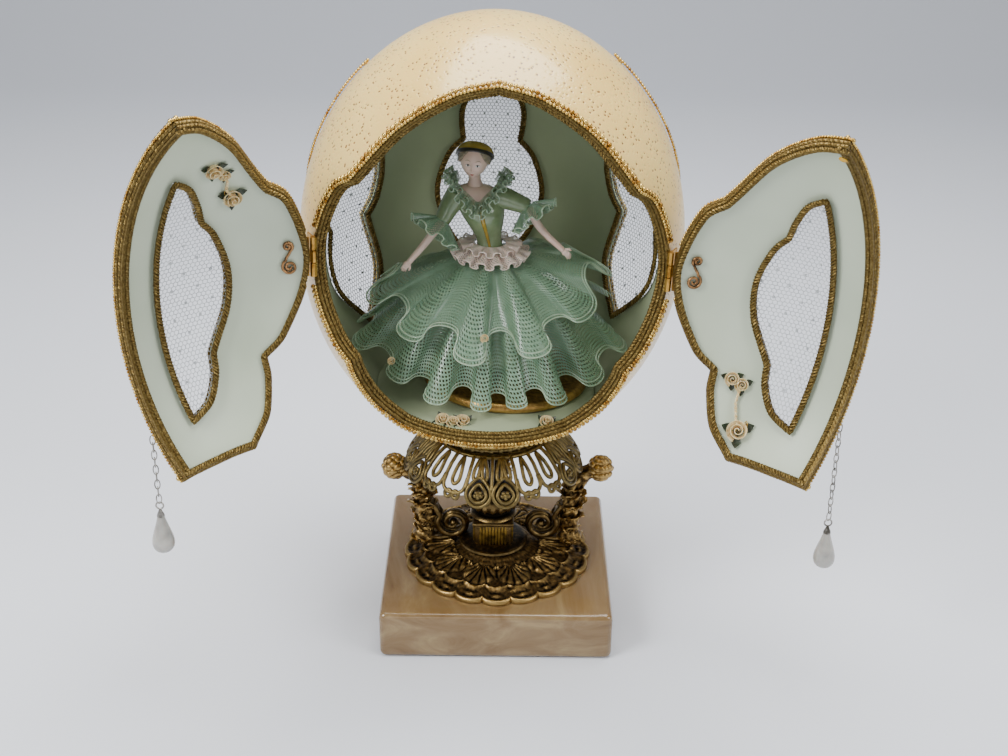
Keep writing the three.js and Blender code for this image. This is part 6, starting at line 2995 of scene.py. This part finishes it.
    def _flower(self) -> list[bpy.types.Object]:
        """The ball of overlapping petals.

        Returns:
            The ball's parts.
        """
        x, z = self.ball
        core = Bench.primitive(
            "core", "uv_sphere", segments=24, ring_count=16, radius=4.4, location=(x, 0, z)
        )
        places = []
        for row, (height, count) in enumerate(((-0.75, 6), (-0.35, 8), (0.05, 9), (0.45, 8), (0.78, 5))):
            for k in range(count):
                angle = TURN * (k + 0.5 * (row % 2)) / count
                level = math.sqrt(1 - height * height)
                d = Vector((height, level * math.cos(angle), level * math.sin(angle)))
                places.append(
                    Matrix.Translation(Vector((x, 0, z)) + d * 4.3)
                    @ d.to_track_quat("Z", "Y").to_matrix().to_4x4()
                )
        petal = Bench.primitive(
            "petal", "uv_sphere", stretch=(1.75, 1.4, 1.0), segments=10, ring_count=7, radius=1
        )
        petals = Bench.stamp("petals", Bench.dress(petal, Finishes.CASTING), places)
        knob = Bench.primitive(
            "knob", "uv_sphere", segments=12, ring_count=8, radius=1.3, location=(x + 4, 0, z)
        )
        return [Bench.dress(core, Finishes.CASTING), petals, Bench.dress(knob, Finishes.CASTING)]


@dataclass
class Collar:
    """The pierced filigree collar under the egg: wires cast as one, in lobes that hang over the columns."""

    middle: float = -1.6
    profile: tuple[Flat, ...] = (
        (19.5, 74.2), (22.5, 73.4), (25.6, 71.3), (28.4, 68.4), (30.6, 66.2), (32.3, 63.6), (33.4, 61)
    )
    lobes: int = 20
    wire: float = 0.74

    def at(self, degrees: float, share: float, out: float = 0.0) -> Vector:
        """A point of the collar's bell: degrees round from the front, share of the way down.

        Args:
            degrees: the way round from the front.
            share: share of the way down, 0 to 1.
            out: how far out of the bell.

        Returns:
            The point.
        """
        t = share * (len(self.profile) - 1)
        k = min(int(t), len(self.profile) - 2)
        (r0, z0), (r1, z1) = self.profile[k], self.profile[k + 1]
        r, z = r0 + (r1 - r0) * (t - k) + out, z0 + (z1 - z0) * (t - k) + out * 0.4
        a = math.radians(degrees)
        return Vector((self.middle + r * math.sin(a), -r * math.cos(a), z))

    def curve(self, centre: float, spots: Sequence[Flat], closed: bool) -> list[Vector]:
        """A smooth wire through degrees and shares beside a centre.

        Args:
            centre: the middle that the spots are beside, in degrees.
            spots: degrees and shares.
            closed: whether the last spot joins the first.

        Returns:
            The wire's points.
        """
        made = []
        n = len(spots)
        for i in range(n if closed else n - 1):
            a, b, c, d = (
                np.array(spots[k % n] if closed else spots[min(max(k, 0), n - 1)], float)
                for k in range(i - 1, i + 3)
            )
            for t in np.linspace(0, 1, 6, endpoint=False):
                p = spline(a, b, c, d, t)
                made.append(self.at(centre + float(p[0]), float(p[1])))
        if not closed:
            made.append(self.at(centre + spots[-1][0], spots[-1][1]))
        return made

    def build(self) -> None:
        """Lays out the wires lobe by lobe, and the beaded seat above them."""
        step = 360 / self.lobes
        loops: list[list[Vector]] = []
        wires: list[list[Vector]] = []
        bosses = []
        for k in range(self.lobes):
            centre = (k + 0.5) * step - 0.5
            if k % 4 in (0, 3):
                loops.append(
                    self.curve(
                        centre,
                        [
                            (0, 0.46), (-6.4, 0.62), (-8.2, 0.82), (-5, 0.99), (0, 1.05), (5, 0.99),
                            (8.2, 0.82), (6.4, 0.62)
                        ],
                        True
                    )
                )
                loops.append(
                    self.curve(
                        centre,
                        [
                            (0, 0.58), (-3.8, 0.69), (-5.3, 0.82), (-3.3, 0.92), (0, 0.955), (3.3, 0.92),
                            (5.3, 0.82), (3.8, 0.69)
                        ],
                        True
                    )
                )
                for s in (-1, 1):
                    loops.append(
                        self.curve(
                            centre,
                            [
                                (s * 1.4, 0.12), (s * 4.6, 0.3), (s * 5.2, 0.46), (s * 2.6, 0.5),
                                (s * 1, 0.34)
                            ],
                            True
                        )
                    )
                bosses += [
                    self.at(
                        centre + 2.1 * math.cos(TURN * p / 5 + 0.3),
                        0.8 + 0.052 * math.sin(TURN * p / 5 + 0.3)
                    )
                    for p in range(5)
                ]
                bosses.append(self.at(centre, 0.8, 0.3))
            else:
                wires.append(
                    self.curve(
                        centre,
                        [
                            (-8.6, 0.5), (-7.6, 0.72), (-4, 0.82), (0, 0.84), (4, 0.82), (7.6, 0.72),
                            (8.6, 0.5)
                        ],
                        False
                    )
                )
                for s in (-1, 1):
                    loops.append(
                        self.curve(
                            centre,
                            [
                                (s * 0.3, 0.84), (s * 2.4, 0.79), (s * 4.8, 0.84), (s * 4, 0.93),
                                (s * 1.6, 0.93)
                            ],
                            True
                        )
                    )
                loops.append(
                    self.curve(
                        centre,
                        [(0, 0.16), (-2.3, 0.36), (-2.7, 0.56), (0, 0.66), (2.7, 0.56), (2.3, 0.36)], True
                    )
                )
            wires.append(self.curve(centre + step / 2, [(0, 0), (0.2, 0.25), (0, 0.5), (-0.1, 0.7)], False))
        hoops = [[self.at(a, share) for a in range(0, 360, 3)] for share in (0.0, 0.09)]
        pieces = [Bench.tubes("loops", [line], self.wire, 7, closed=True) for line in loops + hoops]
        pieces += [Bench.tubes("wires", [line], self.wire, 7) for line in wires]
        boss = Bench.primitive("boss", "uv_sphere", segments=10, ring_count=7, radius=0.85)
        pieces.append(Bench.stamp("bosses", boss, [Matrix.Translation(p) for p in bosses]))
        plate = Bench.lathe(
            "seat_plate",
            [(13, 74.1), (20.6, 74.1), (20.6, 74.7), (13, 74.7), (13, 74.1)], 72, (self.middle, 0)
        )
        pieces.append(plate)
        for piece in pieces:
            Bench.dress(piece, Finishes.FILIGREE)
        made = Bench.join("pierced_collar", pieces)
        Bench.smooth(made, 180)
        Bench.place(made, Matrix.Scale(MM, 4), "case", "gilt", ["filigree_collar"])
        ring = [
            Vector((-2.2 + 19.5 * math.cos(TURN * k / 72), 19.5 * math.sin(TURN * k / 72), 75.9))
            for k in range(72)
        ]
        hoop = Bench.dress(Bench.tubes("hoop", [ring], 0.8, 8, closed=True), Finishes.FILIGREE)
        bead = Bench.dress(
            Bench.primitive("bead", "uv_sphere", segments=12, ring_count=8, radius=1.25), Finishes.FILIGREE
        )
        beads = Bench.stamp("beads", bead, [Matrix.Translation(p) for p in ring[::1]][::2])
        made = Bench.join("beaded_seat", [hoop, beads])
        Bench.smooth(made, 180)
        Bench.place(made, Matrix.Scale(MM, 4), "case", "gilt", ["seat_ring"])


@dataclass
class Studio:
    """Paper sweep, camera and soft lights."""

    camera_at: tuple[float, float, float] = (2.135, -501.313, 351.961)
    pitch: float = 27.05
    roll: float = 0.0103
    lens: float = 54.07

    def build(self) -> None:
        """Sets up the stage."""
        self._paper()
        self._camera()
        self._light("overhead", (30, 60, 680), 460, 7.5)
        self._light("left", (-520, -400, 600), 300, 6.4)
        self._light("right", (600, -380, 480), 380, 3.2)
        self._light("front", (-120, -760, 300), 300, 0.5)
        world = bpy.data.worlds.new("studio_air")
        world.use_nodes = True
        air = world.node_tree.nodes["Background"]
        air.inputs["Color"].default_value = linear("#E6EAF2")
        air.inputs["Strength"].default_value = 0.4
        bpy.context.scene.world = world

    def _paper(self) -> None:
        """The pale paper that the object stands on, curved up behind it."""
        profile = [(-1400.0, 0.0), (700.0, 0.0)]
        profile += [
            (700 + 500 * math.sin(a), 500 - 500 * math.cos(a)) for a in np.linspace(0.1, math.pi / 2, 12)
        ]
        profile.append((1200, 1800))
        points = [Vector((x, y, z)) * MM for y, z in profile for x in (-2200, 2200)]
        faces = [(2 * i, 2 * i + 1, 2 * i + 3, 2 * i + 2) for i in range(len(profile) - 1)]
        made = Bench.mesh("studio_paper", points, faces)
        Bench.dress(made, Finishes.FLOOR)
        Bench.smooth(made, 60)

    def _camera(self) -> None:
        """The camera where the photographer's stood."""
        data = bpy.data.cameras.new("camera")
        data.lens = self.lens
        data.sensor_width = 36
        camera = bpy.data.objects.new("camera", data)
        turn = Matrix.Rotation(math.radians(90 - self.pitch), 4, "X") @ Matrix.Rotation(self.roll, 4, "Z")
        camera.matrix_world = Matrix.Translation(Vector(self.camera_at) * MM) @ turn
        bpy.context.scene.collection.objects.link(camera)
        bpy.context.scene.camera = camera

    def _light(self, name: str, place: Sequence[float], size: float, power: float) -> None:
        """A square soft light that looks at the egg.

        Args:
            name: the lamp's name.
            place: where it stands, in millimetres.
            size: its width, in millimetres.
            power: its power, in watts.
        """
        data = bpy.data.lights.new(name, "AREA")
        data.size = size * MM
        data.energy = power
        lamp = bpy.data.objects.new(name, data)
        at = Vector(place) * MM
        aim = Vector((0, 0, 0.13)) - at
        lamp.matrix_world = Matrix.Translation(at) @ aim.to_track_quat("-Z", "Y").to_matrix().to_4x4()
        bpy.context.scene.collection.objects.link(lamp)


def dress_hinges() -> None:
    """Gives the hinge leaves, which keep their own shape, their brass."""
    for name in ("hinge_leaf_left", "hinge_leaf_right", "door_hinge_leaf_left", "door_hinge_leaf_right"):
        Bench.dress(bpy.data.objects[name], Finishes.HINGE)


def glue_blob() -> bpy.types.Object:
    """The blob of yellowed glue in the right door's top corner.

    Returns:
        The blob, where the door is closed.
    """
    p = EGG.front(3.4, 59.2)
    made = Bench.primitive(
        "glue", "uv_sphere", stretch=(1.5, 0.6, 1.1), segments=20, ring_count=14, radius=1
    )
    turn = EGG.normal(p).to_track_quat("-Y", "Z").to_matrix().to_4x4()
    made.data.transform(Matrix.Translation(p - EGG.normal(p) * 3.6) @ turn)
    Bench.smooth(made, 180)
    return Bench.dress(made, Finishes.GLUE)


def main() -> None:
    """Builds the object and its stage."""
    logging.basicConfig(level=logging.INFO, format="%(name)s: %(message)s")
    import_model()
    opening, windows = sampled_openings()
    Casing().shell(opening, windows)
    ShellTrims(opening, windows).build()
    for side in Side:
        Door(side).build()
    dress_hinges()
    Interior().build()
    Lady().build()
    Spray(
        Side.LEFT,
        ((29.5, 41, 2.4), (33.5, 38.4, 1.7), (36.8, 29.2, 2.6)),
        ((31.5, 40), (34.6, 36), (34.4, 32.5), (36.4, 29.8))
    ).build()
    Spray(
        Side.RIGHT,
        ((38.8, -32.8, 2.1), (35.4, -34.4, 2), (34.5, -48.8, 3)),
        ((35.8, -34.6), (36.8, -40), (36, -45), (35, -48))
    ).build([glue_blob()])
    Drop(Side.LEFT, (-0.111789, -0.073182, 0.110759), -27.7).build()
    Drop(Side.RIGHT, (0.114548, -0.057983, 0.10948), -40.1).build()
    Base().build()
    Urn().build()
    for node, turn, shift in (("column_left", 180, 2.5), ("column_right", 0, 2.5), ("column_back", 90, -1)):
        Column(node, turn, shift).build()
    Collar().build()
    Studio().build()


if __name__ == "__main__":
    main()
